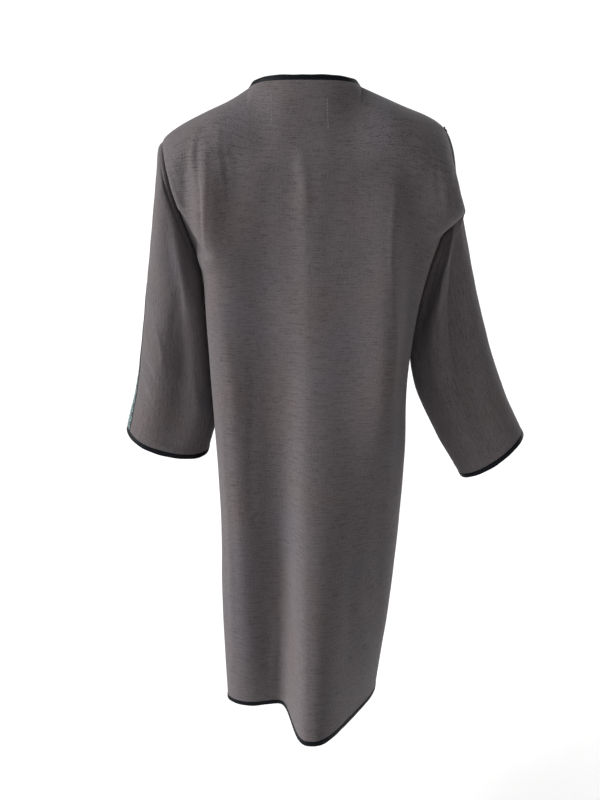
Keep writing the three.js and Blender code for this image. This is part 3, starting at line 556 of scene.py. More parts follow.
# %% Creases, unevenness and dipping seams
SEAM_DIP, SEAM_SOFT = 1.1, 3.2
UNEVEN_BODY, UNEVEN_SLEEVE = 0.55, 0.5
SLEEVE_RUN, PER_DEGREE = 560, 1.35  # millimetres down a whole sleeve, and round it per degree
FLAT_AT_SEAM, FLAT_AT_EDGE = 12, 14  # creases die away over so many millimetres
normals = share_normals(walls)
for name, grid in walls.items():
    x, z = grid[..., 0], grid[..., 2]
    down_run, across_run = run_lengths(grid, 0), run_lengths(grid, 1)
    if name.startswith("sleeve"):
        side = name[7:]
        turn = np.degrees(SLEEVE_ANGLE)
        lines = [(a * SLEEVE_RUN, d * PER_DEGREE, e * SLEEVE_RUN, f * PER_DEGREE, g, h)
                 for a, d, e, f, g, h in SLEEVE_CREASES[side]]
        turn = np.where(turn > 340, turn - 360, turn)
        bump = crease_depth(SLEEVE_AT * SLEEVE_RUN, turn * PER_DEGREE, lines)
        bump += UNEVEN_SLEEVE * uneven(x + grid[..., 1], z, 17, 3)
        seam = np.exp(-((down_run / SEAM_SOFT) ** 2))
        bump *= smoothstep(down_run, 0, FLAT_AT_SEAM)
    else:
        lines = BACK_CREASES if name == "back" else FRONT_CREASES
        bump = crease_depth(x, z, lines) + UNEVEN_BODY * uneven(x, z * 0.5, 19, 1)
        from_top = np.exp(-((down_run / SEAM_SOFT) ** 2)) * (np.abs(x) > NECK_HALF)
        to_side = across_run[:, -1:] - across_run
        if name == "back":
            to_side = np.minimum(across_run, to_side)
        seam = np.maximum(from_top, np.exp(-((to_side / SEAM_SOFT) ** 2)))
        bump *= smoothstep(down_run, 0, FLAT_AT_SEAM) * smoothstep(to_side, 0, FLAT_AT_SEAM)
    bump *= smoothstep(down_run[-1:] - down_run, 0, FLAT_AT_EDGE)
    walls[name] = grid + normals[name] * (bump - SEAM_DIP * seam)[..., None]
    print(name, "creases from", round(float(bump.min()), 1), "to", round(float(bump.max()), 1))
normals = share_normals(walls)

# %% [markdown]
# ## The run of the threads
# The suiting shows its crosswise threads as fine streaks, so each piece carries a UV map in metres
# along its own threads. On the body the first value runs across and the second up. Where the
# cloth drops over the point of the shoulder the threads slope down with it. On a sleeve the
# threads run along its length.

# %% Thread maps
DROOP_FROM, DROOP = 100, 0.6 / 300
OVER_SHOULDER = (30, 160)  # run over which up changes from length of cloth to height


def body_threads(grid):
    """Across: the run of the row from the middle. Up: height, raised past the shoulder by the
    square of the distance, so that a level thread slopes down there. On top of the shoulder, where
    the cloth lies flat, up is counted along the cloth instead."""
    across = run_lengths(grid, 1)
    middle = int(np.argmin(np.abs(grid[0, :, 0])))
    across = across - across[:, middle:middle + 1]
    if grid[0, -1, 0] < grid[0, 0, 0]:
        across = -across
    x, z = np.abs(grid[..., 0]), grid[..., 2]
    fade = smoothstep(z, -420, -330)
    up = z + fade * DROOP * np.maximum(0, x - DROOP_FROM) ** 2
    run = run_lengths(grid, 0)
    up -= (run - (z[:1] - z)) * (1 - smoothstep(run, *OVER_SHOULDER))
    return np.stack([across, up], axis=-1) * MM


def sleeve_threads(grid):
    """Along: the run down the sleeve. Around: the share of a turn times the mean girth."""
    along = run_lengths(grid, 0)
    girth = run_lengths(grid, 1)[:, -1].mean()
    turn = np.linspace(0, 1, grid.shape[1] + 1)[:-1]
    return np.stack([along, np.broadcast_to(turn * girth, along.shape)], axis=-1) * MM


threads = {name: sleeve_threads(grid) if name.startswith("sleeve") else body_threads(grid)
           for name, grid in walls.items()}
print("thread maps in metres for", sorted(threads))

# %% [markdown]
# ## Turning grids into cloth
# Each piece becomes a thin closed shell: the outer face, the same face moved in by the thickness
# of the suiting, and a rim round the edge. The shell is written straight from the arrays, with no
# modifier left to run, so the inner faces of two pieces meet cleanly at every seam.


# %% Mesh helpers
HARD_EDGE = 50  # degrees past which an edge is drawn hard


def cell_corners(rows, columns, closed):
    """Row and column numbers of the four corners of every cell, down first and then across."""
    last = columns if closed else columns - 1
    i, j = np.meshgrid(np.arange(rows - 1), np.arange(last), indexing="ij")
    row = np.stack([i, i + 1, i + 1, i], -1).reshape(-1, 4)
    return row, np.stack([j, j, j + 1, j + 1], -1).reshape(-1, 4)


def turned_over(quads, corner_uv):
    """The same faces seen from their other side, each corner with its own place on the map."""
    return quads[:, ::-1], corner_uv.reshape(-1, 4, 2)[:, ::-1].reshape(-1, 2)


def write_mesh(name, points, quads, material, corner_uv):
    """A mesh object from arrays in millimetres, with smooth faces and some hard edges."""
    mesh = bpy.data.meshes.new(name)
    mesh.vertices.add(len(points))
    mesh.vertices.foreach_set("co", (points * MM).ravel())
    mesh.loops.add(quads.size)
    mesh.loops.foreach_set("vertex_index", quads.ravel())
    mesh.polygons.add(len(quads))
    mesh.polygons.foreach_set("loop_start", np.arange(len(quads)) * 4)
    mesh.update(calc_edges=True)
    mesh.polygons.foreach_set("use_smooth", np.ones(len(quads), bool))
    mesh.set_sharp_from_angle(angle=math.radians(HARD_EDGE))
    mesh.uv_layers.new(name="threads").data.foreach_set("uv", corner_uv.ravel())
    mesh.materials.append(material)
    piece = bpy.data.objects.new(name, mesh)
    bpy.context.scene.collection.objects.link(piece)
    return piece


def shell_of(name, outer, inner, out_normals, uv, material, closed=False):
    """A closed shell between two grids. A face looks out where its own normal agrees with the
    grid's; if the first faces don't, the whole order is turned round."""
    rows, columns = outer.shape[:2]
    i, j = cell_corners(rows, columns, closed)
    face = i * columns + j % columns
    size = rows * columns
    edge = np.arange(columns if closed else columns - 1)
    top = [edge, (edge + 1) % columns]
    bottom = [(rows - 1) * columns + k for k in top]
    rims = [np.stack([top[0], top[1], top[1] + size, top[0] + size], -1),
            np.stack([bottom[1], bottom[0], bottom[0] + size, bottom[1] + size], -1)]
    rim_uv = [(np.zeros_like(edge), edge), (np.full_like(edge, rows - 1), edge)]
    if not closed:
        k = np.arange(rows - 1) * columns
        rims.append(np.stack([k + columns, k, k + size, k + columns + size], -1))
        k = k + columns - 1
        rims.append(np.stack([k, k + columns, k + columns + size, k + size], -1))
        rim_uv += [(np.arange(rows - 1), np.zeros(rows - 1, int)),
                   (np.arange(rows - 1), np.full(rows - 1, columns - 1))]
    if uv.shape[1] == columns:
        uv = np.concatenate([uv, uv[:, :1]], axis=1)
    quads = np.concatenate([face, face[:, ::-1] + size, *rims])
    corner_uv = [uv[i, j].reshape(-1, 2), uv[i, j][:, ::-1].reshape(-1, 2)]
    corner_uv += [np.repeat(uv[a, b], 4, axis=0) for a, b in rim_uv]
    corner_uv = np.concatenate(corner_uv)
    flat = outer.reshape(-1, 3)
    a, b, c = flat[face[:, 0]], flat[face[:, 1]], flat[face[:, 2]]
    agrees = np.sum(np.cross(b - a, c - a) * out_normals.reshape(-1, 3)[face[:, 0]])
    if agrees < 0:
        quads, corner_uv = turned_over(quads, corner_uv)
    points = np.concatenate([flat, inner.reshape(-1, 3)])
    return write_mesh(name, points, quads, material, corner_uv)


def cloth_area(grid, closed=False):
    """Area of one face in square metres: half the cross product of each cell's diagonals."""
    if closed:
        grid = np.concatenate([grid, grid[:, :1]], axis=1)
    one, two = grid[1:, 1:] - grid[:-1, :-1], grid[1:, :-1] - grid[:-1, 1:]
    return float(np.linalg.norm(np.cross(one, two), axis=-1).sum() / 2) * MM * MM


for name, grid in walls.items():
    print(name, "has", round(cloth_area(grid, name.startswith("sleeve")), 3), "square metres")

# %% [markdown]
# ## Building finishes from nodes
# A finish is a small sum of patterns. Short helpers keep the node code readable: one adds a node
# and feeds its inputs, one starts a node group with named sockets. The groups only put out
# colours, masks and heights; the shader itself stays in each material.


# %% Node helpers
def feed(tree, socket, value):
    """Links a socket to a socket, or sets a plain value."""
    if isinstance(value, bpy.types.NodeSocket):
        tree.links.new(value, socket)
    else:
        socket.default_value = value


def add(tree, kind, inputs=(), **settings):
    """A node with its settings and inputs; inputs are pairs of socket name or number and value."""
    made = tree.nodes.new(kind)
    for key, value in settings.items():
        setattr(made, key, value)
    for key, value in inputs:
        feed(tree, made.inputs[key], value)
    return made


def maths(tree, operation, *values):
    """The result of one math node."""
    return add(tree, "ShaderNodeMath", enumerate(values), operation=operation).outputs[0]


def stretched(tree, vector, across, up):
    """A vector with its first two values multiplied."""
    return add(tree, "ShaderNodeVectorMath", [(0, vector), (1, (across, up, 1))],
               operation="MULTIPLY").outputs[0]


def noise(tree, vector, detail=1.0, rough=0.5):
    """A noise whose cells are one unit of the stretched vector; 0.5 on average."""
    made = add(tree, "ShaderNodeTexNoise", [("Vector", vector), ("Scale", 1.0), ("Detail", detail),
                                            ("Roughness", rough)], noise_dimensions="2D")
    return made.outputs["Fac"]


def blend_colour(tree, share, a, b, blend="MIX"):
    """The mix, or another blend, of two colours."""
    made = add(tree, "ShaderNodeMix", data_type="RGBA", blend_type=blend)
    feed(tree, made.inputs["Factor"], share)
    feed(tree, made.inputs[6], a)
    feed(tree, made.inputs[7], b)
    return made.outputs[2]


def new_group(name, inputs, outputs):
    """A node group with named sockets; inputs are name, kind and value, outputs name and kind."""
    tree = bpy.data.node_groups.new(name, "ShaderNodeTree")
    for label, kind, value in inputs:
        tree.interface.new_socket(label, in_out="INPUT", socket_type=kind).default_value = value
    for label, kind in outputs:
        tree.interface.new_socket(label, in_out="OUTPUT", socket_type=kind)
    return tree, tree.nodes.new("NodeGroupInput").outputs, tree.nodes.new("NodeGroupOutput").inputs


def new_material(name):
    """A material, its node tree and its shader."""
    made = bpy.data.materials.new(name)
    made.use_nodes = True
    return made, made.node_tree, made.node_tree.nodes["Principled BSDF"]


def thread_map(tree):
    """The piece's own map along its threads, in metres."""
    return add(tree, "ShaderNodeUVMap", uv_map="threads").outputs[0]


def raised(tree, shader, strength, distance, height):
    """A bump of so many metres on the shader's normal."""
    bump = add(tree, "ShaderNodeBump", [("Strength", strength), ("Distance", distance),
                                        ("Height", height)])
    feed(tree, shader.inputs["Normal"], bump.outputs[0])


VALUE, COLOUR, VECTOR = "NodeSocketFloat", "NodeSocketColor", "NodeSocketVector"

# %% [markdown]
# ## Heathered suiting
# The suiting is woven from yarns of several greys with thicker spots, called slubs. Crosswise they
# show as dashes about a millimetre high and one or two centimetres long, darker and lighter than
# the ground, with faint lengthwise lines between. Over a hand's breadth the grey leans a little
# to brown and a little to violet. All of it is noise, stretched along the threads.

# %% The slub weave group
heather, given, result = new_group(
    "heathered slubs",
    [("Threads", VECTOR, (0, 0, 0)), ("Dark", COLOUR, (0, 0, 0, 1)),
     ("Ground", COLOUR, (0, 0, 0, 1)), ("Light", COLOUR, (0, 0, 0, 1)), ("Slubs", VALUE, 1.0)],
    [("Color", COLOUR), ("Height", VALUE), ("Roughness", VALUE)])
calc = partial(maths, heather)
SLUBS = [  # cells a metre along the threads and across them, detail, roughness, weight in the grey
    (80, 700, 1.0, 0.5, 1.0),  # short dashes
    (24, 620, 1.0, 0.5, 1.0),  # long dashes
    (560, 60, 1.0, 0.5, 0.55),  # lengthwise lines
    (560, 760, 0.0, 0.5, 1.3),  # specks
    (16, 22, 2.0, 0.6, 0.14),  # patches
]
WARM, COOL = (1.07, 0.99, 0.93, 1), (0.95, 1.0, 1.09, 1)
total = 0.0
for along, across, detail, rough, weight in SLUBS:
    fac = noise(heather, stretched(heather, given["Threads"], along, across), detail, rough)
    total = calc("ADD", calc("MULTIPLY", calc("SUBTRACT", fac, 0.5), weight), total)
shade = calc("MULTIPLY_ADD", total, given["Slubs"], 0.5)
lower = calc("MULTIPLY", shade, 2.0)
upper = calc("SUBTRACT", lower, 1.0)
for half in (lower, upper):
    half.node.use_clamp = True
darker = blend_colour(heather, lower, given["Dark"], given["Ground"])
greys = blend_colour(heather, upper, darker, given["Light"])
leaning = noise(heather, stretched(heather, given["Threads"], 9, 7))
tint = blend_colour(heather, leaning, WARM, COOL)
feed(heather, result["Color"], blend_colour(heather, 1.0, greys, tint, "MULTIPLY"))
weave = noise(heather, stretched(heather, given["Threads"], 1500, 1800), 0.0)
feed(heather, result["Height"], calc("MULTIPLY_ADD", weave, 0.5, shade))
feed(heather, result["Roughness"], calc("MULTIPLY_ADD", shade, -0.12, 0.92))
print("the slubs are", len(SLUBS), "noises")


# %% The suiting material
DARK, GROUND, LIGHT = (0.050, 0.043, 0.045), (0.097, 0.086, 0.0895), (0.172, 0.156, 0.160)
suiting, tree, shader = new_material("heathered suiting")
cloth = add(tree, "ShaderNodeGroup", node_tree=heather)
feed(tree, cloth.inputs["Threads"], thread_map(tree))
for key, value in (("Dark", DARK), ("Ground", GROUND), ("Light", LIGHT)):
    cloth.inputs[key].default_value = (*value, 1)
feed(tree, shader.inputs["Base Color"], cloth.outputs["Color"])
feed(tree, shader.inputs["Roughness"], cloth.outputs["Roughness"])
raised(tree, shader, 0.5, 0.0004, cloth.outputs["Height"])
shader.inputs["Sheen Weight"].default_value = 0.12
shader.inputs["Sheen Roughness"].default_value = 0.5
shader.inputs["Specular IOR Level"].default_value = 0.25
print("finish:", suiting.name)

# %% [markdown]
# ## Black satin binding
# The strips over the raw edges are cut on the bias from black satin, so their threads run at a
# slant, and they ripple slightly where they were stretched round a curve. A low roughness and a
# faint blue-black ground give the thin highlight along the fold.

# %% The satin group and material
satin, given, result = new_group(
    "bias satin", [("Threads", VECTOR, (0, 0, 0)), ("Ripple", VALUE, 1.0)],
    [("Color", COLOUR), ("Height", VALUE), ("Roughness", VALUE)])
calc = partial(maths, satin)
INK, SHINE = (0.002, 0.0025, 0.004, 1), (0.006, 0.008, 0.011, 1)
slant = add(satin, "ShaderNodeMapping", [("Vector", given["Threads"]),
                                         ("Rotation", (0, 0, math.radians(45)))])
fine = noise(satin, stretched(satin, slant.outputs[0], 2600, 260), 0.0)
ripples = noise(satin, stretched(satin, given["Threads"], 130, 60))
feed(satin, result["Color"], blend_colour(satin, fine, INK, SHINE))
height = calc("MULTIPLY_ADD", ripples, given["Ripple"], calc("MULTIPLY", fine, 0.25))
feed(satin, result["Height"], height)
feed(satin, result["Roughness"], calc("MULTIPLY_ADD", ripples, 0.25, 0.38))

binding, tree, shader = new_material("black satin binding")
strip = add(tree, "ShaderNodeGroup", node_tree=satin)
feed(tree, strip.inputs["Threads"], thread_map(tree))
feed(tree, shader.inputs["Base Color"], strip.outputs["Color"])
feed(tree, shader.inputs["Roughness"], strip.outputs["Roughness"])
raised(tree, shader, 0.5, 0.0006, strip.outputs["Height"])
shader.inputs["Specular IOR Level"].default_value = 0.08
print("finish:", binding.name)

# %% [markdown]
# ## The patterned band
# The band on each cuff is a woven ribbon: a pale blue-green scroll on a black ground, a common
# leaf-and-tendril motif. It is worked out from the ribbon's own coordinates. The ribbon is cut
# into square cells; in each a tendril follows a spiral, and a flower of five or six petals sits
# where the tendrils end. A narrow plain edge is left along both sides.

# %% The scroll group
BAND_WIDTH = 0.034
scroll, given, result = new_group(
    "leaf scroll", [("Ribbon", VECTOR, (0, 0, 0)), ("Cell", VALUE, 0.017)],
    [("Thread", VALUE), ("Height", VALUE)])
calc = partial(maths, scroll)
ribbon_way = add(scroll, "ShaderNodeSeparateXYZ", [(0, given["Ribbon"])]).outputs
TENDRIL = 0.12  # half the tendril's width, in turns of the spiral
EYE, RIM, HEART = 0.36, 0.98, 0.07  # radii in a cell: the spiral's two ends, the flower's heart
PLAIN_EDGE = 0.45  # the motif ends at this share of the ribbon's width from its middle


def in_cell(value, offset):
    """Place in its cell from -1 to 1."""
    part = calc("FRACT", calc("ADD", calc("DIVIDE", value, given["Cell"]), offset))
    return calc("MULTIPLY_ADD", part, 2.0, -1.0)


def scroll_cell(offset_x, offset_y, turns, petals):
    """Mask of one spiral with a flower in its eye: the spiral is where radius less angle is near a
    whole number of turns, and the flower where the radius is under a cosine of the angle."""
    x, y = in_cell(ribbon_way["X"], offset_x), in_cell(ribbon_way["Y"], offset_y)
    radius = calc("SQRT", calc("ADD", calc("MULTIPLY", x, x), calc("MULTIPLY", y, y)))
    angle = calc("ARCTAN2", y, x)
    wound = calc("MULTIPLY_ADD", angle, 1 / (2 * math.pi), calc("MULTIPLY", radius, turns))
    line = calc("ABSOLUTE", calc("SUBTRACT", calc("FRACT", wound), 0.5))
    ring = calc("MULTIPLY", calc("GREATER_THAN", radius, EYE), calc("LESS_THAN", radius, RIM))
    tendril = calc("MULTIPLY", calc("LESS_THAN", line, TENDRIL), ring)
    wave = calc("COSINE", calc("MULTIPLY", angle, petals))
    petal = calc("LESS_THAN", radius, calc("MULTIPLY_ADD", wave, 0.09, 0.22))
    flower = calc("MULTIPLY", petal, calc("GREATER_THAN", radius, HEART))
    return calc("MAXIMUM", tendril, flower)


drawn = calc("MAXIMUM", scroll_cell(0.0, 0.0, 2.6, 5.0), scroll_cell(0.5, 0.5, -2.2, 6.0))
inside = calc("LESS_THAN", calc("ABSOLUTE", ribbon_way["X"]), BAND_WIDTH * PLAIN_EDGE)
mask = calc("MULTIPLY", drawn, inside)
feed(scroll, result["Thread"], mask)
floats = noise(scroll, stretched(scroll, given["Ribbon"], 900, 2400), 0.0)
feed(scroll, result["Height"], calc("MULTIPLY_ADD", floats, 0.4, mask))

# %% The band's material
BAND_GROUND, BAND_THREAD = (0.006, 0.008, 0.011, 1), (0.24, 0.40, 0.42, 1)
brocade, tree, shader = new_material("scroll brocade")
ribbon = add(tree, "ShaderNodeGroup", node_tree=scroll)
drawn = ribbon.outputs["Thread"]
feed(tree, ribbon.inputs["Ribbon"], thread_map(tree))
feed(tree, shader.inputs["Base Color"], blend_colour(tree, drawn, BAND_GROUND, BAND_THREAD))
feed(tree, shader.inputs["Roughness"], maths(tree, "MULTIPLY_ADD", drawn, -0.12, 0.55))
raised(tree, shader, 0.6, 0.0005, ribbon.outputs["Height"])
print("finish:", brocade.name)

# %% [markdown]
# ## The five pieces of suiting
# Now the grids become cloth. The inner face lies one thickness of suiting inside the outer one,
# along the shared normals.

# %% Cloth pieces
pieces = {}
for name, grid in walls.items():
    inner = grid - normals[name] * CLOTH
    pieces[name] = shell_of(name + "_cloth", grid, inner, normals[name], threads[name], suiting,
                            name.startswith("sleeve"))
    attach(pieces[name], BODY)
    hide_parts(name)
    print(name, len(pieces[name].data.polygons), "faces")

# %% [markdown]
# ## The bindings
# A binding is a folded strip that wraps a raw edge. Its section is a long loop with a round fold
# past the edge, and it laps a little over both faces of the cloth. The section is carried along the
# edge of each grid: at every station it is set by the edge's direction, the cloth's normal and the
# way out of the piece. The neck's strip stands up, because the strip is shorter than the curve.

# %% Strips along an edge
BINDING = {"neck": 9, "front": 7, "hem": 7.5, "cuff": 7.5}
PROUD, LAP, STAND = 0.7, 1.6, 0.55


def strip_section(width):
    """The loop of a folded strip: distance past the edge, and height over the outer face."""
    p, mid = PROUD, -CLOTH / 2
    upper = [(-LAP, 0.12), (-LAP + 0.5, 0.5), (0.2, p), (width * 0.5, p + 0.08), (width - 1.7, p),
             (width - 0.6, 0.25), (width - 0.05, mid + 0.4)]
    lower = [(o, 2 * mid - n) for o, n in upper[::-1]]
    return np.array(upper + lower)


def smooth_run(values, times, closed):
    """Each station averaged with its neighbours, several times."""
    for _ in range(times):
        before, after = np.roll(values, 1, 0), np.roll(values, -1, 0)
        if not closed:
            before[0], after[-1] = values[0], values[-1]
        values = (before + 2 * values + after) / 4
    return values


def unit(v):
    """The same directions, each of length one."""
    return v / np.maximum(np.linalg.norm(v, axis=-1, keepdims=True), 1e-9)


def edge_frames(line, normal, guide, closed, stand=0.0):
    """Way out and normal at each station: out is square to the line and the cloth, on the guide's
    side, turned up by the share stand."""
    step = np.roll(line, -1, 0) - np.roll(line, 1, 0) if closed else np.gradient(line, axis=0)
    step = unit(smooth_run(step, 4, closed))
    out = unit(np.cross(step, normal))
    out *= np.sign(np.sum(out * guide, axis=-1, keepdims=True))
    if stand:
        share = stand * smoothstep(line[:, 1], -60, 10)[:, None]
        out = mix(out, np.array([0, 0, 1.0]), share)
    out = smooth_run(out, 6, closed)
    out = unit(out - step * np.sum(out * step, axis=-1, keepdims=True))
    flat = unit(np.cross(out, step))
    flat *= np.sign(np.sum(flat * normal, axis=-1, keepdims=True))
    return out, flat


def strip_along(name, line, normal, guide, width, closed=False, stand=0.0):
    """A folded strip: line + out * o + normal * n for each point (o, n) of the section, with the
    width swaying by a few tenths of a millimetre as a hand-fed strip does."""
    out, flat = edge_frames(line, normal, guide, closed, stand)
    run = np.concatenate([[0], np.cumsum(np.linalg.norm(np.diff(line, axis=0), axis=-1))])
    sway = 1 + 0.035 * np.sin(run / 13.0) + 0.025 * np.sin(run / 5.3 + 1.0)
    section = strip_section(width)
    rings = (line[:, None] + out[:, None] * section[None, :, :1] * sway[:, None, None]
             + flat[:, None] * section[None, :, 1:])
    count, size = rings.shape[:2]
    i, k = np.meshgrid(np.arange(count if closed else count - 1), np.arange(size), indexing="ij")
    nxt, turn = (i + 1) % count, (k + 1) % size
    corners = [i * size + k, i * size + turn, nxt * size + turn, nxt * size + k]
    quads = np.stack(corners, -1).reshape(-1, 4)
    sides = np.linalg.norm(np.diff(section, axis=0, append=section[:1]), axis=-1)
    girth = np.concatenate([[0], np.cumsum(sides)])
    run = np.append(run, run[-1] + (run[-1] - run[-2]))
    places = ((i, k), (i, k + 1), (i + 1, k + 1), (i + 1, k))
    uv = np.stack([np.stack([run[a], girth[b]], -1) for a, b in places], -2)
    corner_uv = uv.reshape(-1, 2) * MM
    flat_points = rings.reshape(-1, 3)
    a, b, c = (flat_points[quads[:, n]] for n in (0, 1, 2))
    middle = np.repeat(rings.mean(axis=1), size, axis=0)[: len(quads)]
    inside_out = np.sum(np.cross(b - a, c - a) * (a - middle)) < 0
    if inside_out:
        quads, corner_uv = turned_over(quads, corner_uv)
    if not closed:
        half = np.arange(size // 2 - 1)
        cap = np.stack([half, half + 1, size - 2 - half, size - 1 - half], -1)
        start, end = cap, cap[:, ::-1] + (count - 1) * size
        if not inside_out:
            start, end = start[:, ::-1], end[:, ::-1]
        quads = np.concatenate([quads, start, end])
        corner_uv = np.concatenate([corner_uv, np.zeros((4 * (len(start) + len(end)), 2))])
    piece = write_mesh(name, flat_points, quads, binding, corner_uv)
    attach(piece, BODY)
    return piece


# %% Neck binding
WALL_ORDER = ("front_right", "back", "front_left")
neck_from, neck_to = STEPS["shoulder"], STEPS["shoulder"] + 2 * STEPS["neck"]
front_neck = STEPS["front"] + 1


def joined(row, grids):
    """An edge from the right front's opening round the back to the left front's opening."""
    right, back, left = (grids[name] for name in WALL_ORDER)
    if row == 0:
        back_neck = back[0, neck_from + 1:neck_to]
        return np.concatenate([right[0, :front_neck], back_neck, left[0, :front_neck][::-1]])
    return np.concatenate([right[-1], back[-1, 1:-1], left[-1, ::-1]])


neck_line, neck_normal = joined(0, walls), joined(0, normals)
past = np.array([BINDING["front"], 0, 0])
neck_line = np.concatenate([neck_line[:1] + past, neck_line, neck_line[-1:] - past])
neck_normal = np.concatenate([neck_normal[:1], neck_normal, neck_normal[-1:]])
OVER_NECK = np.array([0, 10, 60])
neck_normal = unit(smooth_run(neck_normal, 6, False))
pieces["neck_binding"] = strip_along("neck_strip", neck_line, neck_normal, OVER_NECK - neck_line,
                                     BINDING["neck"], stand=STAND)
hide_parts("neck_binding")

# %% Hem, front and cuff bindings
hem_line = joined(-1, walls)
hem_guide = hem_line - joined(-1, {name: walls[name][:-1] for name in WALL_ORDER})
pieces["hem_binding"] = strip_along("hem_strip", hem_line, joined(-1, normals), hem_guide,
                                    BINDING["hem"])
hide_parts("hem_binding")
FRONT_STARTS = 6  # the front strips begin at this row, below the neck
for side in SIGN:
    front, normal = walls[f"front_{side}"], normals[f"front_{side}"]
    line = front[FRONT_STARTS:, 0]
    line = np.concatenate([line, line[-1:] + unit(line[-1:] - line[-2:-1]) * BINDING["hem"]])
    guide = front[FRONT_STARTS:, 0] - front[FRONT_STARTS:, 1]
    guide = np.append(guide, guide[-1:], axis=0)
    facing = np.append(normal[FRONT_STARTS:, 0], normal[-1:, 0], axis=0)
    name = f"front_binding_{side}"
    pieces[name] = strip_along(f"front_strip_{side}", line, facing, guide, BINDING["front"])
    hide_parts(name)
    sleeve, normal = walls[f"sleeve_{side}"], normals[f"sleeve_{side}"]
    name = f"cuff_binding_{side}"
    guide = sleeve[-1] - sleeve[-2]
    pieces[name] = strip_along(f"cuff_strip_{side}", sleeve[-1], normal[-1], guide,
                               BINDING["cuff"], closed=True)
    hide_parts(name)
print("strips:", [p for p in pieces if "binding" in p])

# %% [markdown]
# ## The bands on the sleeves
# Each band is a strip of ribbon laid on the front of the lower sleeve and stitched down along both
# edges. Its points are read off the sleeve's own grid and lifted by the ribbon's thickness, so it
# follows every fold under it. Near its edges it is drawn down by the stitching.

# %% Bands
BAND = {"left": (2, 24, 62, 58), "right": (-22, -14, 62, 58)}
BAND_FROM, BAND_TO = 8 / 15, 0.994
BAND_ROWS, BAND_COLUMNS = 90, 36
BAND_LIFT, BAND_THICK, EDGE_DRAW = 0.25, 1.0, 0.5


def read_grid(grid, row, turn):
    """A closed grid read between its points: the straight mix of the four round each place."""
    i = np.clip(np.floor(row).astype(int), 0, grid.shape[0] - 2)
    j = np.floor(turn).astype(int)
    u, v = (row - i)[..., None], (turn - j)[..., None]
    n = grid.shape[1]
    top = mix(grid[i, j % n], grid[i, (j + 1) % n], v)
    low = mix(grid[i + 1, j % n], grid[i + 1, (j + 1) % n], v)
    return mix(top, low, u)


for side, (edge_top, edge_cuff, width_top, width_cuff) in BAND.items():
    share = np.linspace(0, 1, BAND_ROWS + 1)[:, None]
    over = np.linspace(0, 1, BAND_COLUMNS + 1)[None]
    row = np.interp(mix(BAND_FROM, BAND_TO, share), down, np.arange(len(down)))
    degrees = mix(edge_top, edge_cuff, share) - over * mix(width_top, width_cuff, share)
    turn = (degrees % 360) / 360 * len(around)
    row = np.broadcast_to(row, turn.shape)
    base = read_grid(walls[f"sleeve_{side}"], row, turn)
    lift = unit(read_grid(normals[f"sleeve_{side}"], row, turn))
    straight = np.linalg.norm(base[:, -1] - base[:, 0], axis=-1)[:, None]
    from_edge = np.minimum(over, 1 - over) * straight
    draw = EDGE_DRAW * np.exp(-((from_edge / 1.6) ** 2))
    outer = base + lift * (BAND_LIFT + BAND_THICK - draw)[..., None]
    width = run_lengths(base, 1)
    uv = np.stack([width - width[:, -1:] / 2, run_lengths(base, 0)], -1) * MM
    uv[..., 0] *= BAND_WIDTH / (float(width[:, -1].mean()) * MM)
    name = f"sleeve_band_{side}"
    pieces[name] = shell_of(f"band_{side}", outer, base + lift * BAND_LIFT, lift, uv, brocade)
    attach(pieces[name], BODY)
    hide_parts(name)
    print(name, "is", round(float(width[:, -1].mean())), "mm wide")

# %% [markdown]
# ## Stitches at the back of the neck
# A label sewn inside the back neck shows outside as two short columns of tacking stitches. Each
# stitch is a bit of thread that comes up, crosses a few millimetres of cloth and goes down. It is
# a small tube bent into an arc, laid on the back's own surface.

# %% Stitches
STITCH_COLUMNS = [  # x and z of the top, x and z of the bottom, number of stitches, share drawn
    (53.0, -12.0, 53.5, -60.0, 9, 0.4),
    (-36.0, -20.0, -37.0, -66.0, 9, 0.62),
]
THREAD_RADIUS, THREAD_SIDES, THREAD_STEPS = 0.32, 6, 6
THREAD_DARK, THREAD_LIGHT = (0.16, 0.15, 0.15, 1), (0.34, 0.33, 0.33, 1)
thread, tree, shader = new_material("tacking thread")
twist = noise(tree, stretched(tree, thread_map(tree), 1200, 3000))
feed(tree, shader.inputs["Base Color"], blend_colour(tree, twist, THREAD_DARK, THREAD_LIGHT))
feed(tree, shader.inputs["Roughness"], maths(tree, "MULTIPLY_ADD", twist, 0.2, 0.6))


def on_back(x, z):
    """The point of the back nearest to x and z, with its normal."""
    back = walls["back"]
    far = (back[..., 0] - x) ** 2 + (back[..., 2] - z) ** 2
    i, j = np.unravel_index(np.argmin(far), far.shape)
    point, normal = back[i, j], normals["back"][i, j]
    shift = np.array([x - point[0], 0, z - point[2]])
    shift[1] = -(shift[0] * normal[0] + shift[2] * normal[2]) / normal[1]
    return point + shift, normal


def stitch_tube(start, end, normal):
    """Rings round an arc from start to end that rises by one thread over the cloth."""
    t = np.linspace(0, 1, THREAD_STEPS + 1)[:, None]
    line = mix(start, end, t) + normal * (0.55 * np.sin(np.pi * t) - 0.15)
    along = unit(end - start)
    side_way = np.cross(along, normal)
    turn = np.linspace(0, 2 * np.pi, THREAD_SIDES + 1)[:-1][None, :, None]
    return line[:, None] + THREAD_RADIUS * (np.cos(turn) * side_way + np.sin(turn) * normal)


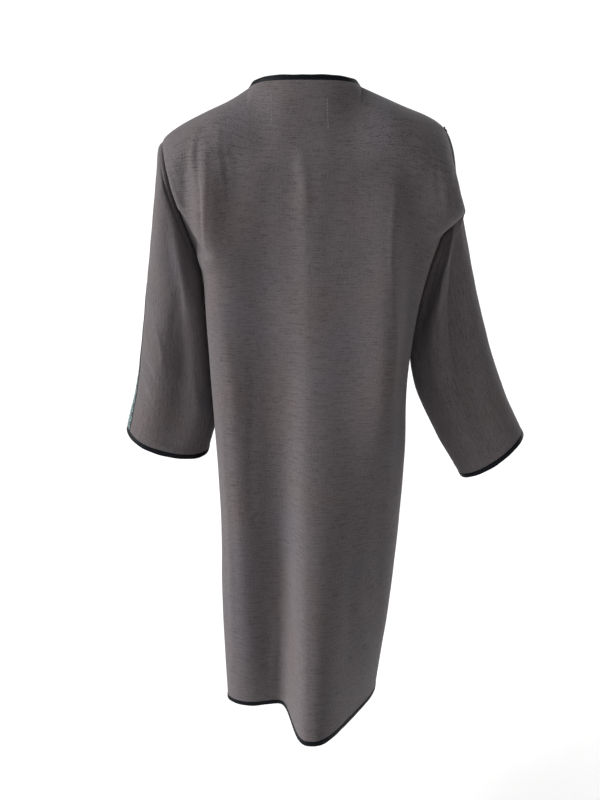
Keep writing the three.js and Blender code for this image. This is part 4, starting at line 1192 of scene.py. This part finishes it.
rings = []
for x0, z0, x1, z1, count, drawn_share in STITCH_COLUMNS:
    ends = np.linspace(0, 1, count + 1)
    for first, last in zip(ends[:-1], ends[1:]):
        last = mix(first, last, drawn_share)
        (start, normal), (end, _) = (on_back(mix(x0, x1, k), mix(z0, z1, k)) for k in (first, last))
        rings.append(stitch_tube(start, end, normal))
rings = np.array(rings)
s, i, k = np.meshgrid(np.arange(len(rings)), np.arange(THREAD_STEPS), np.arange(THREAD_SIDES),
                      indexing="ij")
base = (s * (THREAD_STEPS + 1) + i) * THREAD_SIDES
after = (k + 1) % THREAD_SIDES
quads = np.stack([base + k, base + after, base + after + THREAD_SIDES, base + k + THREAD_SIDES], -1)
quads = quads.reshape(-1, 4)
points = rings.reshape(-1, 3)
a, b, c = (points[quads[:, n]] for n in (0, 1, 2))
centres = np.repeat(rings.mean(axis=2).reshape(-1, 3), THREAD_SIDES, axis=0)[quads[:, 0]]
if np.sum(np.cross(b - a, c - a) * (a - centres)) < 0:
    quads = quads[:, ::-1]
ends = np.arange(len(rings)) * (THREAD_STEPS + 1) * THREAD_SIDES
caps = np.array([[0, 1, 2, 3], [0, 3, 4, 5]])
far_caps = ends[:, None, None] + caps[None] + THREAD_STEPS * THREAD_SIDES
near_caps = ends[:, None, None] + caps[None, :, ::-1]
quads = np.concatenate([quads, near_caps.reshape(-1, 4), far_caps.reshape(-1, 4)])
uv = points[quads.ravel()][:, [0, 2]] * MM
tacks = write_mesh("label_tacks", points, quads, thread, uv)
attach(tacks, BODY)
print(len(rings), "stitches")

# %% [markdown]
# ## What each sheet was cut to
# Every sheet of cloth is listed with the size it was cut to, and printed beside the width, length
# and area of its drape. The flat area is the cut's, which is not a full rectangle.

# %% Sheets as cut
CUT = {  # width and length of the rectangle it is cut from, and the area of the cut, in metres
    "back": (0.60, 1.16, 0.56),
    "front_left": (0.36, 1.16, 0.26),
    "front_right": (0.36, 1.16, 0.27),
    "sleeve_left": (0.52, 0.53, 0.155),
    "sleeve_right": (0.46, 0.57, 0.165),
}
for name, (width, length, area) in CUT.items():
    grid = walls[name]
    closed = name.startswith("sleeve")
    widest = run_lengths(grid, 1)[:, -1].max() * MM
    longest = run_lengths(grid, 0)[-1].max() * MM
    print(name, "cut", (width, length, area), "measured", round(float(widest), 3),
          round(float(longest), 3), round(cloth_area(grid, closed), 3))

# %% [markdown]
# ## Floor and light
# The garment hangs in front of a white sweep. A broad key lamp stands high on the wearer's left.
# A weaker rim lamp on the wearer's right, ahead of the garment, catches only what turns away from
# the camera. A pale room fills the shadows, so the folds show but no shadow is hard.

# %% Stage
FLOOR, FLOOR_LIFT, FLOOR_HALF = -1.43, 0.3, 60.0
WHITE, OFF_WHITE = (0.96, 0.96, 0.96, 1), (0.93, 0.93, 0.93, 1)
sweep_mesh = bpy.data.meshes.new("floor")
corners = [(x * FLOOR_HALF, y * FLOOR_HALF, FLOOR) for x, y in ((-1, -1), (1, -1), (1, 1), (-1, 1))]
sweep_mesh.from_pydata(corners, [], [(0, 1, 2, 3)])
floor = bpy.data.objects.new("floor", sweep_mesh)
bpy.context.scene.collection.objects.link(floor)
pale, tree, shader = new_material("pale floor")
place = add(tree, "ShaderNodeTexCoord").outputs["Object"]
grain = noise(tree, stretched(tree, place, 14, 14), 2.0)
feed(tree, shader.inputs["Base Color"], blend_colour(tree, grain, OFF_WHITE, WHITE))
shader.inputs["Roughness"].default_value = 0.9
shader.inputs["Specular IOR Level"].default_value = 0.0
shader.inputs["Emission Color"].default_value = (1, 1, 1, 1)
seen = add(tree, "ShaderNodeLightPath").outputs["Is Camera Ray"]
feed(tree, shader.inputs["Emission Strength"], maths(tree, "MULTIPLY", seen, FLOOR_LIFT))
sweep_mesh.materials.append(pale)

# %% Light
KEY_FROM, KEY_STRENGTH, KEY_SOFT = (1.0, 0.22, 0.42), 4.7, 50
ROOM_LIGHT, ROOM_SEEN = 0.29, 1.1
RIM_FROM, RIM_STRENGTH, RIM_SOFT = (-1.0, -0.9, 0.15), 1.6, 40
for name, way, strength, soft in (("key lamp", KEY_FROM, KEY_STRENGTH, KEY_SOFT),
                                  ("rim lamp", RIM_FROM, RIM_STRENGTH, RIM_SOFT)):
    lamp = bpy.data.objects.new(name, bpy.data.lights.new(name, "SUN"))
    lamp.data.energy = strength
    lamp.data.angle = math.radians(soft)
    lamp.data.color = (1.0, 0.99, 0.98)
    lamp.rotation_euler = Vector(way).to_track_quat("Z", "Y").to_euler()
    bpy.context.scene.collection.objects.link(lamp)
world = bpy.data.worlds.new("studio")
bpy.context.scene.world = world
world.use_nodes = True
tree = world.node_tree
seen = add(tree, "ShaderNodeLightPath").outputs["Is Camera Ray"]
room = tree.nodes["Background"]
room.inputs["Color"].default_value = (0.98, 0.99, 1.0, 1)
brightness = maths(tree, "MULTIPLY_ADD", seen, ROOM_SEEN - ROOM_LIGHT, ROOM_LIGHT)
feed(tree, room.inputs["Strength"], brightness)
bpy.context.scene.view_settings.view_transform = "Standard"
print("key lamp from", KEY_FROM, "rim lamp from", RIM_FROM)
